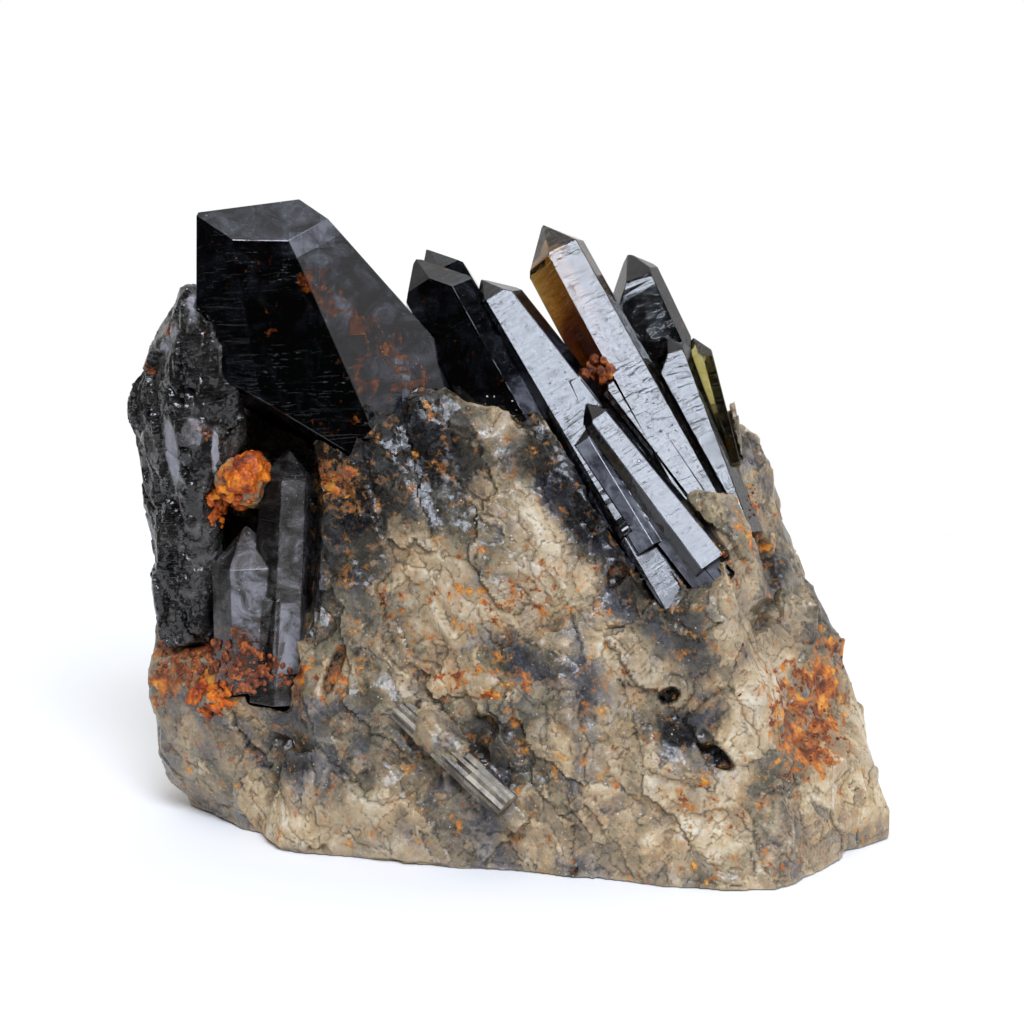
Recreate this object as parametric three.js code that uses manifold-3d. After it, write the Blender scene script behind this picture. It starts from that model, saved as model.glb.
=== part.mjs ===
// A smoky quartz cluster: dark crystals standing on the broken quartz that they grew from.
// Millimetres, +Z up, +X to the right and +Y away from the side with the pocket of small crystals.
import * as THREE from 'three';
import { ConvexGeometry } from 'three/addons/geometries/ConvexGeometry.js';
import { mergeVertices } from 'three/addons/utils/BufferGeometryUtils.js';
import Module from 'manifold-3d';

const wasm = await Module();
wasm.setup();

const degree = Math.PI / 180;

// Places were taken from one station in front of the cluster. A place is given by how far it
// lies across and up from the middle, as seen from there, and how far back from the front edge.
const stationDistance = 620;
const stationDrop = 14 * degree;
const middleBack = 30;
const middleHigh = 50;

// The origin is under the middle of the cluster's box, on the surface that it stands on.
const boxMiddle = new THREE.Vector3(-0.5, 31.2, 0);

const seamGap = 0.3;
// A rhomb face of quartz makes this angle with the crystal's long axis.
const rhombAngle = 38.2 * degree;

function seen(across, up, back) {
  const forward = new THREE.Vector3(0, Math.cos(stationDrop), -Math.sin(stationDrop));
  const upward = new THREE.Vector3(0, Math.sin(stationDrop), Math.cos(stationDrop));
  const middle = new THREE.Vector3(0, middleBack, middleHigh);
  const station = middle.clone().addScaledVector(forward, -stationDistance);
  const mark = middle.clone().addScaledVector(upward, up);
  mark.x += across;
  const sight = mark.sub(station);
  return station.addScaledVector(sight, (back - station.y) / sight.y);
}

// Solids from convex pieces

function solidOf(geometry) {
  geometry.deleteAttribute('normal');
  geometry.deleteAttribute('uv');
  const merged = mergeVertices(geometry, 1e-4);
  return new wasm.Manifold(new wasm.Mesh({
    numProp: 3,
    vertProperties: new Float32Array(merged.attributes.position.array),
    triVerts: new Uint32Array(merged.index.array),
  }));
}

function hull(points) {
  return solidOf(new ConvexGeometry(points));
}

function join(solids) {
  return solids.reduce((whole, solid) => whole.add(solid));
}

function trianglesOf(solid) {
  const mesh = solid.getMesh();
  const corner = (index) => new THREE.Vector3(
    mesh.vertProperties[index * mesh.numProp],
    mesh.vertProperties[index * mesh.numProp + 1],
    mesh.vertProperties[index * mesh.numProp + 2],
  );
  const triangles = [];
  for (let first = 0; first < mesh.triVerts.length; first += 3) {
    triangles.push(new THREE.Triangle(
      corner(mesh.triVerts[first]),
      corner(mesh.triVerts[first + 1]),
      corner(mesh.triVerts[first + 2]),
    ));
  }
  return triangles;
}

// A plane keeps what lies behind it: normal · point <= reach.
function planeAt(normal, point) {
  const unit = normal.clone().normalize();
  return { unit, reach: unit.dot(point) };
}

function planeThrough(first, second, third, inside) {
  const normal = second.clone().sub(first).cross(third.clone().sub(first));
  if (normal.dot(inside.clone().sub(first)) > 0) {
    normal.negate();
  }
  return planeAt(normal, first);
}

function cornerOf(a, b, c) {
  const matrix = new THREE.Matrix3().set(...a.unit.toArray(), ...b.unit.toArray(), ...c.unit.toArray());
  if (Math.abs(matrix.determinant()) < 1e-3) {
    return null;
  }
  return new THREE.Vector3(a.reach, b.reach, c.reach).applyMatrix3(matrix.invert());
}

// The solid that a set of planes encloses, grown by a margin for the socket that it leaves.
function solidWithin(planes, margin = 0) {
  const grown = planes.map(({ unit, reach }) => ({ unit, reach: reach + margin }));
  const corners = [];
  for (let a = 0; a < grown.length; a += 1) {
    for (let b = a + 1; b < grown.length; b += 1) {
      for (let c = b + 1; c < grown.length; c += 1) {
        const corner = cornerOf(grown[a], grown[b], grown[c]);
        const inside = corner && grown.every(({ unit, reach }) => unit.dot(corner) < reach + 1e-4);
        if (inside && !corners.some((other) => other.distanceTo(corner) < 1e-3)) {
          corners.push(corner);
        }
      }
    }
  }
  return hull(corners);
}

// The planes of one quartz crystal. lean is to the left and tilt is away, both from upright.
// sides are the six prism faces' distances from the axis under the tip, from the face that is
// turned to the front and on round to the right. caps are how far below the tip each rhomb face
// meets that axis. flare is how fast the prism widens downwards, as one value or one for each side.
function quartz({ tip, lean, tilt = 22, turn = 27, sides, caps = [0, 0, 0, 0, 0, 0], length, flare = 0.5 }) {
  const leanAngle = lean * degree;
  const tiltAngle = tilt * degree;
  const axis = new THREE.Vector3(
    -Math.sin(leanAngle) * Math.cos(tiltAngle),
    Math.sin(tiltAngle),
    Math.cos(leanAngle) * Math.cos(tiltAngle),
  );
  const right = new THREE.Vector3(Math.cos(leanAngle), 0, Math.sin(leanAngle));
  const away = axis.clone().cross(right);
  const planes = [];
  sides.forEach((distance, index) => {
    const angle = (turn + 60 * index) * degree;
    const outward = right.clone().multiplyScalar(Math.sin(angle)).addScaledVector(away, -Math.cos(angle));
    const widening = Array.isArray(flare) ? flare[index] : flare;
    const sloped = outward.clone().addScaledVector(axis, Math.tan(widening * degree));
    planes.push(planeAt(sloped, tip.clone().addScaledVector(outward, distance)));
    const rhomb = outward.clone().multiplyScalar(Math.cos(rhombAngle))
      .addScaledVector(axis, Math.sin(rhombAngle));
    planes.push(planeAt(rhomb, tip.clone().addScaledVector(axis, -caps[index])));
  });
  planes.push(planeAt(axis.clone().negate(), tip.clone().addScaledVector(axis, -length)));
  return planes;
}

// The large crystal

const largeInside = seen(-33, 20, 38);
const largeRidgeTop = seen(-41.4, 37.5, 27.5);
const largeRidgeLow = seen(-40.2, 22.5, 27.2);
const largeBrowLeft = seen(-45.6, 40.8, 27.6);
const largeBrow = seen(-33.6, 40.7, 28);
const largeCorner = seen(-32, 38.3, 28);
const largeFootFront = seen(-24, 19.1, 26.5);
const largeShoulder = seen(-25.5, 41.7, 31.5);
const largeTopRight = seen(-27.2, 44, 31.3);
const largeLeftTop = seen(-47.4, 40.4, 31);
const largeBackLeft = seen(-47.1, 45, 31.4);
const largeBackTop = seen(-34.4, 46.7, 33.4);
const largeBackCorner = seen(-30.8, 46.4, 33.3);
const largeFootRight = seen(-6, 19.8, 34);
const largePlanes = [
  planeThrough(largeRidgeTop, largeBrow, largeFootFront, largeInside),
  planeThrough(largeRidgeTop, largeRidgeLow, largeLeftTop, largeInside),
  planeThrough(largeLeftTop, largeBackLeft, seen(-43, 20, 40), largeInside),
  planeThrough(largeCorner, largeShoulder, largeFootFront, largeInside),
  planeThrough(largeBrowLeft, largeBrow, largeTopRight, largeInside),
  planeThrough(largeBrow, largeCorner, largeShoulder, largeInside),
  planeThrough(largeBackLeft, largeBackTop, seen(-38, 36, 46), largeInside),
  planeThrough(largeBackCorner, largeTopRight, seen(-20, 34, 47), largeInside),
  planeThrough(largeShoulder, largeFootRight, seen(-22, 27, 50), largeInside),
  planeThrough(seen(-40, 34, 48), seen(-28, 34, 49), seen(-28, 10, 52), largeInside),
  planeThrough(seen(-46, 30, 42), seen(-41, 32, 48), seen(-40, 10, 50), largeInside),
  planeAt(new THREE.Vector3(-0.5, -0.3, -0.8), seen(-35, 15, 28)),
  planeAt(new THREE.Vector3(0.1, 0, -1), seen(-20, 0, 38)),
];

// The left crystal, etched all over

const leftBody = [
  seen(-48.2, 37.4, 34), seen(-47.3, 37.4, 34.4), seen(-45.9, 35.6, 30.6), seen(-44.6, 29.5, 29.2),
  seen(-42.8, 22.8, 28.6), seen(-40.8, 16.8, 29.4), seen(-39.6, 13, 31.5), seen(-42.2, 3, 31),
  seen(-52.2, 27.8, 39), seen(-55, 22.6, 40), seen(-56.7, 19, 41), seen(-57.5, 14.8, 42),
  seen(-57, 10.4, 41.6), seen(-55.6, 3.3, 41), seen(-53.8, -4.4, 40), seen(-48.6, 33, 31),
  seen(-50.4, 21, 29.4), seen(-49.5, 13, 28.6), seen(-49, 4, 29), seen(-45.5, 5, 29.2),
  seen(-48, -5, 30.4), seen(-44, -4, 31.6), seen(-47, 33, 44), seen(-54.4, 16, 50), seen(-44, 22, 50),
  seen(-41, 10, 50), seen(-52.4, -2, 51), seen(-42, -2, 50),
];
const leftStem = [
  seen(-53.7, -1, 36), seen(-53.9, -20, 36), seen(-45.5, -1, 31.5), seen(-44.8, -20, 31),
  seen(-52.6, -1, 33), seen(-52.8, -20, 32.6), seen(-52, -3, 50), seen(-52, -20, 50), seen(-42, -1, 50),
  seen(-42, -20, 50), seen(-43.6, -3, 34), seen(-43, -20, 34),
];

// The dark pair, the long crystals, the tall pair and the crystals behind them

const darkFront = quartz({
  tip: seen(-14.7, 39.3, 40), lean: 30.5, tilt: 19, turn: 42, length: 34,
  sides: [5.3, 5.1, 4.6, 4.6, 4.9, 3.4],
  caps: [1.7, 1.4, 1.5, 1, 0.4, 1.2],
});
const darkBack = quartz({
  tip: seen(-12.97, 40.5, 43.5), lean: 32, tilt: 19, turn: 34, length: 38,
  sides: [3.6, 3.4, 4.4, 4.4, 3.6, 3.2],
  caps: [0.8, 1.6, 1.2, 0.5, 0.4, 0.8],
});
const darkStep = quartz({
  tip: seen(-6.9, 29.6, 38.6), lean: 31, tilt: 19, sides: [2.4, 3.2, 3, 3, 3, 2.6],
  caps: [0.6, 0, 0.5, 0, 0.4, 0.2], length: 28,
});

const longCrystal = quartz({
  tip: seen(-4.95, 35.85, 37), lean: 36, turn: 12, length: 46,
  sides: [2.6, 3, 3.2, 4.2, 3.4, 2.5],
  caps: [1.3, 1.4, 0.3, 0.4, 0, 0.9],
  flare: [1, 3.7, 3.8, 0.9, 2.5, 3.5],
});
const longPanel = quartz({
  tip: seen(7.5, 21.97, 30), lean: 35, turn: 18, length: 30,
  sides: [2.7, 2, 2.1, 3, 2.4, 1.7],
  caps: [0, 0.4, 0, 0.6, 0, 0],
  flare: [-2.5, 1.9, 1.7, 0.5, 0.5, 5.5],
});
const longBlade = quartz({
  tip: seen(11.01, 16.6, 25), lean: 39.6, turn: 20.5, length: 31,
  sides: [2.5, 2, 2.5, 3.2, 2, 2.7],
  caps: [0.2, 0.4, 0.6, 0.6, 0, 0.2],
  flare: [0.3, 1.8, 0.9, 0.5, 0.5, 0.7],
});
const shadedBlade = quartz({
  tip: seen(14.85, 8.4, 23), lean: 41, turn: 40, length: 25,
  sides: [2.5, 2.6, 2.6, 3, 2.6, 2.2],
  caps: [0.3, 0.2, 0, 0.4, 0.3, 0],
  flare: 0.7,
});
const lowBlade = quartz({
  tip: seen(11.21, 6.15, 23.5), lean: 37.5, turn: 25, length: 29,
  sides: [2.4, 1.2, 2.6, 3, 1.5, 2],
  caps: [0.2, 0, 0.3, 0.5, 0.2, 0.3],
  flare: [-1.9, 3.5, 0.5, 0.5, 1.5, 3.2],
});
const stripedCrystal = quartz({
  tip: seen(9.75, 13.5, 25), lean: 33, turn: 48, length: 22,
  sides: [1.9, 1.9, 1.9, 2.4, 2.4, 2.1],
  caps: [0, 0.4, 0, 0.3, 0, 0.5],
});

const tallCrystal = quartz({
  tip: seen(4.69, 43.2, 42), lean: 30.2, turn: 20, length: 52,
  sides: [4, 3.9, 3, 4.4, 5.3, 4.4],
  caps: [0, 0.2, 0.2, 0, -0.4, 0],
});
const tallStep = quartz({
  tip: seen(18.3, 21.3, 36), lean: 32, turn: 20, length: 30,
  sides: [2.4, 2, 2.4, 3, 2.6, 2.4],
  caps: [0.8, 0.4, 0.6, 0, 0.2, 0.3],
});
const frontCrystal = quartz({
  tip: seen(13.65, 21.75, 30.5), lean: 37, turn: 24, length: 28,
  sides: [2, 2.45, 2, 2.8, 2, 2.95],
  caps: [0.5, 0.8, 0.4, 0.6, 0.4, 0.1],
  flare: [0.2, -1, 0.2, 0.2, 0.2, -2],
});

const rearCrystal = quartz({
  tip: seen(16.95, 39.3, 46), lean: 25.5, turn: 6, length: 31,
  sides: [3.5, 3.4, 2.5, 4.2, 5.2, 5.9],
  caps: [0.9, 0.3, 0.5, 0.7, 0, 0.9],
  flare: [0.5, 0.5, 1.5, 0.5, 0.5, 0.5],
});
const shortCrystal = quartz({
  tip: seen(23.4, 26.85, 37.3), lean: 23, turn: 12, length: 33,
  sides: [2.6, 2.05, 2.2, 3.7, 4, 5.3],
  caps: [0.2, 0.6, 0.2, 0.5, 0, 0],
  flare: [0.8, -1, 0.8, 0.8, 0.8, -3],
});
const paleCrystal = quartz({
  tip: seen(27.45, 27.45, 40.5), lean: 16, turn: 30, length: 22,
  sides: [3, 1.7, 1.9, 3.2, 3, 3],
  caps: [1.1, 2, 0.5, 1.2, 0, 0.5],
  flare: [1, -1, -1, 1, 1, 1],
});

// The small crystals of the pocket

const pocketTall = quartz({
  tip: seen(-33.6, 9.8, 33), lean: -3, tilt: 8, turn: 20, sides: [3.6, 3.4, 3, 3, 3.6, 3.4],
  caps: [0.2, 0, 0.4, 0.2, 0, 0.6], length: 34, flare: 0.6,
});
const pocketRound = quartz({
  tip: seen(-40.2, -1, 31.5), lean: 2, tilt: 5, turn: 8, sides: [3.8, 4.6, 3.6, 3.6, 4.6, 4.2],
  caps: [2.2, 1.2, 0, 0.3, 1, 1.6], length: 26, flare: 0.8,
});
const pocketEdge = quartz({
  tip: seen(-34.4, -9, 29), lean: -4, tilt: 6, turn: 32, sides: [2.8, 2.6, 3, 3, 3.6, 2.8],
  caps: [0.6, 0.3, 0.2, 0, 0.4, 0.5], length: 20,
});
const pocketSmall = quartz({
  tip: seen(-50.7, -17, 31.2), lean: 2, tilt: 8, turn: 24, sides: [1.9, 1.8, 1.8, 1.8, 1.9, 2],
  caps: [0, 0.3, 0, 0.3, 0, 0.2], length: 12,
});

// Fixed chance, so that the cluster comes out the same every time

function chanceFrom(seed) {
  let state = seed;
  return () => {
    state = (state * 1664525 + 1013904223) % 4294967296;
    return state / 4294967296;
  };
}

// A rough lump or broken block: a six-cornered column with uneven ends along a given axis.
function blockAt(centre, radius, length, axis, chance) {
  const side = new THREE.Vector3(0, 1, 0).cross(axis).normalize();
  const across = axis.clone().cross(side).normalize();
  const points = [];
  for (let corner = 0; corner < 6; corner += 1) {
    const angle = (corner + 0.5 * chance()) * 60 * degree;
    const reach = radius * (0.75 + 0.45 * chance());
    const ring = centre.clone()
      .addScaledVector(side, reach * Math.cos(angle))
      .addScaledVector(across, 0.8 * reach * Math.sin(angle));
    points.push(ring.clone().addScaledVector(axis, length * (0.25 + 0.3 * chance())));
    points.push(ring.clone().addScaledVector(axis, -length * (0.25 + 0.3 * chance())));
  }
  points.push(centre.clone()
    .addScaledVector(axis, length * 0.6)
    .addScaledVector(side, radius * (chance() - 0.5)));
  return hull(points);
}

const growth = new THREE.Vector3(-0.44, 0.37, 0.82).normalize();
const upright = new THREE.Vector3(-0.08, 0.1, 0.99).normalize();

// A number from 0 to 1 that belongs to one cell of a grid through space.
function cellChance(x, y, z, salt) {
  const mixed = Math.sin(x * 127.1 + y * 311.7 + z * 74.7 + salt * 53.3) * 43758.5453;
  return mixed - Math.floor(mixed);
}

// Soft swells, from -1 to 1.
function swell(point, size, salt) {
  const place = point.clone().divideScalar(size);
  const base = place.clone().floor();
  const part = place.clone().sub(base);
  const ease = (share) => share * share * (3 - 2 * share);
  let sum = 0;
  for (let corner = 0; corner < 8; corner += 1) {
    const step = [corner & 1, (corner >> 1) & 1, corner >> 2];
    const weight = ['x', 'y', 'z'].reduce((product, key, index) => (
      product * (step[index] ? ease(part[key]) : 1 - ease(part[key]))
    ), 1);
    sum += weight * cellChance(base.x + step[0], base.y + step[1], base.z + step[2], salt);
  }
  return 2 * sum - 1;
}

// Broken blocks, longer along an axis: each has its own height and its own tilted face.
function brokenHeight(point, axis, size, stretch, salt) {
  const run = point.dot(axis);
  const place = point.clone().addScaledVector(axis, run / stretch - run).divideScalar(size);
  const base = place.clone().floor();
  let nearest = Infinity;
  let height = 0;
  for (let x = base.x - 1; x <= base.x + 1; x += 1) {
    for (let y = base.y - 1; y <= base.y + 1; y += 1) {
      for (let z = base.z - 1; z <= base.z + 1; z += 1) {
        const heart = new THREE.Vector3(
          x + cellChance(x, y, z, salt),
          y + cellChance(x, y, z, salt + 1),
          z + cellChance(x, y, z, salt + 2),
        );
        const offset = place.clone().sub(heart);
        if (offset.lengthSq() < nearest) {
          nearest = offset.lengthSq();
          const slope = new THREE.Vector3(
            cellChance(x, y, z, salt + 3) - 0.5,
            cellChance(x, y, z, salt + 4) - 0.5,
            cellChance(x, y, z, salt + 5) - 0.5,
          );
          height = 2 * cellChance(x, y, z, salt + 6) - 1 + 2 * slope.dot(offset);
        }
      }
    }
  }
  return height;
}

// How far a broken surface stands out of its outline: blocks of one size on broader swells.
function reliefAt(spot, { axis, blockSize, blockStretch, blockDepth, swellSize, swellDepth, sink, salt }) {
  return blockDepth * brokenHeight(spot, axis, blockSize, blockStretch, salt)
    + swellDepth * swell(spot, swellSize, salt + 10) - sink;
}

// A body with the outline of several convex masses and a broken surface, as seen from a centre
// that looks out on all of it. fineness is how finely its surface is divided.
function brokenBody({ masses, centre, fineness, relief, margin = 0 }) {
  const walls = masses.flatMap((points) => trianglesOf(hull(points)));
  const ball = new THREE.IcosahedronGeometry(1, fineness);
  ball.deleteAttribute('normal');
  ball.deleteAttribute('uv');
  const body = mergeVertices(ball, 1e-5);
  const places = body.attributes.position;
  const ray = new THREE.Ray(centre);
  const hit = new THREE.Vector3();
  for (let index = 0; index < places.count; index += 1) {
    ray.direction.fromBufferAttribute(places, index).normalize();
    let reach = 0;
    for (const wall of walls) {
      if (ray.intersectTriangle(wall.a, wall.b, wall.c, false, hit)) {
        reach = Math.max(reach, centre.distanceTo(hit));
      }
    }
    const spot = centre.clone().addScaledVector(ray.direction, reach);
    spot.addScaledVector(ray.direction, reliefAt(spot, relief) + margin);
    places.setXYZ(index, spot.x, spot.y, spot.z);
  }
  return solidOf(body);
}

function knobPoints([centre, width, height]) {
  const ball = new THREE.IcosahedronGeometry(1, 1);
  const places = ball.attributes.position;
  return Array.from({ length: places.count }, (_, index) => new THREE.Vector3(
    centre.x + width * places.getX(index),
    centre.y + width * places.getY(index),
    centre.z + height * places.getZ(index),
  ));
}

// The matrix

// The masses reach below the surface that the cluster stands on, and are cut off flat there.
function floorPoint(x, y) {
  return new THREE.Vector3(x, y, -3.5);
}

const frontWedge = [
  floorPoint(37.6, 0.2), floorPoint(27, 2), floorPoint(1, 9.6), floorPoint(-34.5, 18.6),
  floorPoint(-38, 25.6), floorPoint(43, 5.6), floorPoint(40, 56), floorPoint(-38, 56), seen(42, -46, 5),
  seen(38, -38, 6), seen(28.6, -22, 10), seen(18.4, -8, 15), seen(8.4, 10, 21.6), seen(4, 15, 25),
  seen(-4.5, 18.8, 29), seen(-16, 17.6, 29), seen(-24, 17, 27), seen(-30, 12.4, 26.4), seen(-28.5, 4, 25),
  seen(-28, -10, 24), seen(-27, -22, 22.6), seen(-34, -28, 22), seen(-35, -44, 20),
  new THREE.Vector3(-26, 54, 66), new THREE.Vector3(-4, 55, 68), new THREE.Vector3(30, 54, 40),
];
const leftFoot = [
  seen(-54.8, -19.5, 38), seen(-54.9, -29.7, 38), seen(-53.8, -34, 38), seen(-52.6, -40, 41),
  seen(-47.5, -43.7, 41), seen(-50, -20.5, 33), seen(-44, -21, 30), seen(-36, -22, 28),
  seen(-30, -20, 25), seen(-50.5, -28, 32), seen(-42, -30, 27), seen(-34, -30, 22.4),
  seen(-43.6, -42.6, 36), floorPoint(-49, 43), floorPoint(-43, 37), floorPoint(-36, 28),
  floorPoint(-34, 56), floorPoint(-50, 54), new THREE.Vector3(-52.5, 55, 12),
  new THREE.Vector3(-52, 54, 33), new THREE.Vector3(-30, 56, 33),
];
const pocketBack = [
  seen(-53, -6, 45), seen(-52, -22, 44), seen(-38, 20, 43), seen(-29, 20, 41), seen(-29, -24, 40),
  seen(-45, 16, 45), new THREE.Vector3(-50, 57, 8), new THREE.Vector3(-49, 55, 54),
  new THREE.Vector3(-40, 57, 66), new THREE.Vector3(-24, 58, 70), new THREE.Vector3(-24, 58, 8),
];
const rearMass = [
  seen(30, 12, 33), seen(36, 13, 36), seen(24, 2, 30), seen(10, 16, 34), seen(-4, 20, 40),
  seen(38, -2, 34), seen(41, -4, 33), seen(45, -11, 34), seen(29, -14, 20), seen(44, -24, 26),
  seen(50.5, -22, 34), floorPoint(44, 12), floorPoint(51, 22), floorPoint(50, 52), floorPoint(-4, 57),
  new THREE.Vector3(48, 53, 28), new THREE.Vector3(34, 56, 56), new THREE.Vector3(6, 57, 68),
  new THREE.Vector3(-6, 57, 64),
];
const ridgeBlock = [
  seen(30.2, -9.4, 8.4), seen(34.8, -19, 8.6), seen(39.4, -26.6, 8.6), seen(42.6, -38, 7.4),
  seen(43.6, -55, 6.2), seen(31, -22, 11), seen(40, -50, 6), seen(31, -8, 18), seen(39, -20, 19),
  seen(44, -30, 20), seen(45.6, -42, 16), floorPoint(43.4, 6), floorPoint(46, 16), floorPoint(34, 22),
  seen(28, -30, 22), seen(27, -12, 22), seen(25.6, -21.5, 8.6), seen(26, -15.6, 8.2), seen(29.6, -11.4, 7.8),
];
const footRock = [
  seen(26.8, 4.2, 17.5), seen(31, 5, 21), seen(35.5, 3, 27), seen(28.2, -1, 15.5), seen(34, -3, 17.5),
  seen(38, -6, 25), seen(30.4, -7, 10.2), seen(33, -12, 9.6), seen(38, -14, 17), seen(41.6, -14, 28),
  seen(26, -6, 30),
  seen(38, 2, 38), seen(38, -12, 36),
];
const upperRock = [
  seen(32, 16, 34.5), seen(34.4, 14.6, 33), seen(36, 9.3, 31.5), seen(36.7, 4.8, 33), seen(38.3, 2.8, 33),
  seen(38.4, -2.7, 32), seen(33, 10, 29.5), seen(34.5, -8, 28), seen(30, 8, 36), seen(31, -8, 27),
  new THREE.Vector3(31, 50, 62), new THREE.Vector3(37, 50, 48), new THREE.Vector3(28, 50, 48),
  seen(30, 14, 42),
];
const sideLumps = [
  [seen(41.2, -6.4, 36), 2.6, 3.6],
  [seen(44.6, -13.2, 34.5), 3.2, 4.2],
  [seen(47.6, -19.6, 33), 3.1, 4],
  [seen(47.4, -26, 32), 3.2, 3.8],
  [seen(44, -17, 28), 2.6, 5],
  [seen(51.8, -35.6, 29), 3.3, 4],
  [seen(52.8, -44, 25), 3.3, 4.4],
];
const rearLumps = [
  [new THREE.Vector3(-36, 45, 22), 12, 20],
  [new THREE.Vector3(-12, 45, 34), 12.5, 26],
  [new THREE.Vector3(13, 44, 26), 13, 24],
  [new THREE.Vector3(36, 42, 20), 12.5, 18],
];
// The rust-coloured lumps at the pocket: one hangs from its back wall and one sits below it.
const pocketLump = [
  seen(-43.6, 2.4, 26), seen(-44.8, 5.4, 26.4), seen(-42.4, 8.2, 26), seen(-38.6, 8.4, 26.6),
  seen(-36.6, 5.4, 27), seen(-38, 1.8, 25.6), seen(-41, 1.2, 25.2), seen(-40.6, 5, 23.6),
  seen(-42, 8, 45), seen(-36, 8, 45), seen(-42, 0, 45), seen(-36, 0, 45),
];
const lowLump = [seen(-45, -28, 29.5), 3.2, 2.8];
const sideColumn = [
  seen(44.6, -38, 10), seen(46.5, -36, 12), seen(50.4, -38, 16), seen(44.2, -53, 8),
  floorPoint(45.6, 9.4), floorPoint(51.6, 18.6), seen(50.8, -50, 18), floorPoint(44, 24),
  seen(46, -34, 22), seen(50, -34, 24),
];
const sideKnob = [
  seen(50.6, -29.8, 30), seen(52.6, -30.2, 31), seen(54.6, -33, 30), seen(56.1, -37, 28),
  seen(55.9, -39.6, 28), seen(57.1, -45, 26), seen(57, -48.8, 25), floorPoint(52, 20),
  floorPoint(56.4, 23), floorPoint(56, 38), floorPoint(48, 40), seen(50.4, -36, 24), seen(51, -46, 20),
  new THREE.Vector3(53, 42, 22), seen(50, -32, 40),
];

// What is missing from the matrix: the pocket, the dark holes and the open joints.
const pocketHollow = [
  seen(-41, 14, 24), seen(-33, 15, 22), seen(-29.6, 9, 22), seen(-27.4, 1, 20), seen(-28.6, -10, 22),
  seen(-29.6, -20, 22), seen(-40, -19, 22), seen(-46, -4, 26), seen(-44, 8, 28), seen(-41, 14, 41),
  seen(-31, 14, 40), seen(-29.8, 0, 37), seen(-31, -14, 34), seen(-44, -6, 40), seen(-40, -16, 36),
];
const openJoints = [
  { centre: seen(15.4, 5, 19), radius: 2.2, length: 14 },
  { centre: seen(15.8, -9, 14), radius: 1.5, length: 7 },
  { centre: seen(23.6, -27.5, 8.5), radius: 1.4, length: 4.6 },
  { centre: seen(30.6, -36.4, 6.4), radius: 1.5, length: 8 },
  { centre: seen(-25.6, 3.6, 25), radius: 1.5, length: 4.4 },
  { centre: seen(-31, -13, 27), radius: 2.4, length: 13 },
  { centre: seen(46, -28.5, 21), radius: 3.6, length: 15 },
];

// A broken crystal lies in the front of the matrix.
const lyingCrystal = quartz({
  tip: seen(-15, -29.5, 16.6), lean: 47, tilt: 16, turn: 10, sides: [2.2, 1.9, 2, 2, 2, 2.2],
  caps: [0.6, 0.4, 0, 0.2, 0.2, 0.6], length: 24, flare: 0.3,
});

// Short broken crystals that stand on the top and the back of the matrix.
const smallStubs = [
  { tip: new THREE.Vector3(-22, 57, 73), lean: 24, reach: 4.4 },
  { tip: new THREE.Vector3(-9, 55, 78), lean: 26, reach: 5 },
  { tip: new THREE.Vector3(1, 58, 72), lean: 27, reach: 3.6 },
  { tip: new THREE.Vector3(14, 56, 70), lean: 28, reach: 4.6 },
  { tip: new THREE.Vector3(24, 58, 60), lean: 25, reach: 3.8 },
  { tip: new THREE.Vector3(-38, 58, 58), lean: 18, reach: 4 },
].map(({ tip, lean, reach }) => quartz({
  tip, lean, tilt: 14, turn: 20, sides: [reach, 0.8 * reach, reach, 0.9 * reach, reach, 1.1 * reach],
  caps: [0.2, 0.6, 0, 0.8, 0.3, 0.5], length: 6 * reach,
}));

const etchedRelief = {
  axis: upright, blockSize: 3.4, blockStretch: 2.2, blockDepth: 0.5,
  swellSize: 7, swellDepth: 0.4, sink: 0.1, salt: 40,
};
const leftFineness = 7;
const leftHeart = seen(-48.5, 8, 40);
const matrixRelief = {
  axis: growth, blockSize: 6.5, blockStretch: 1.9, blockDepth: 1.3,
  swellSize: 15, swellDepth: 0.8, sink: 0.4, salt: 7,
};
const matrixFineness = 15;
const matrixHeart = new THREE.Vector3(2, 33, 22);
const jointSeed = 29;

function leftCrystal(margin) {
  return brokenBody({
    masses: [leftBody, leftStem], centre: leftHeart, fineness: leftFineness, relief: etchedRelief, margin,
  });
}

function matrixBody() {
  const chance = chanceFrom(jointSeed);
  const masses = [
    frontWedge, leftFoot, pocketBack, rearMass, ridgeBlock, footRock, upperRock,
    sideColumn, sideKnob,
    ...[...sideLumps, ...rearLumps, lowLump].map(knobPoints),
  ];
  const rough = brokenBody({ masses, centre: matrixHeart, fineness: matrixFineness, relief: matrixRelief });
  const holes = openJoints.map(({ centre, radius, length }) => (
    blockAt(centre, radius, length, growth, chance)
  ));
  const stubs = smallStubs.map((stub) => solidWithin(stub));
  const grown = [hull(pocketLump), solidWithin(lyingCrystal), ...stubs];
  return join([rough.subtract(join([hull(pocketHollow), ...holes])), ...grown]);
}

// Nothing reaches below the surface that the cluster stands on.
const standing = solidWithin([
  planeAt(new THREE.Vector3(0, 0, -1), new THREE.Vector3(0, 0, 0)),
  planeAt(new THREE.Vector3(0, 0, 1), new THREE.Vector3(0, 0, 200)),
  planeAt(new THREE.Vector3(-1, 0, 0), new THREE.Vector3(-100, 0, 0)),
  planeAt(new THREE.Vector3(1, 0, 0), new THREE.Vector3(100, 0, 0)),
  planeAt(new THREE.Vector3(0, -1, 0), new THREE.Vector3(0, -100, 0)),
  planeAt(new THREE.Vector3(0, 1, 0), new THREE.Vector3(0, 200, 0)),
]);

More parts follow.
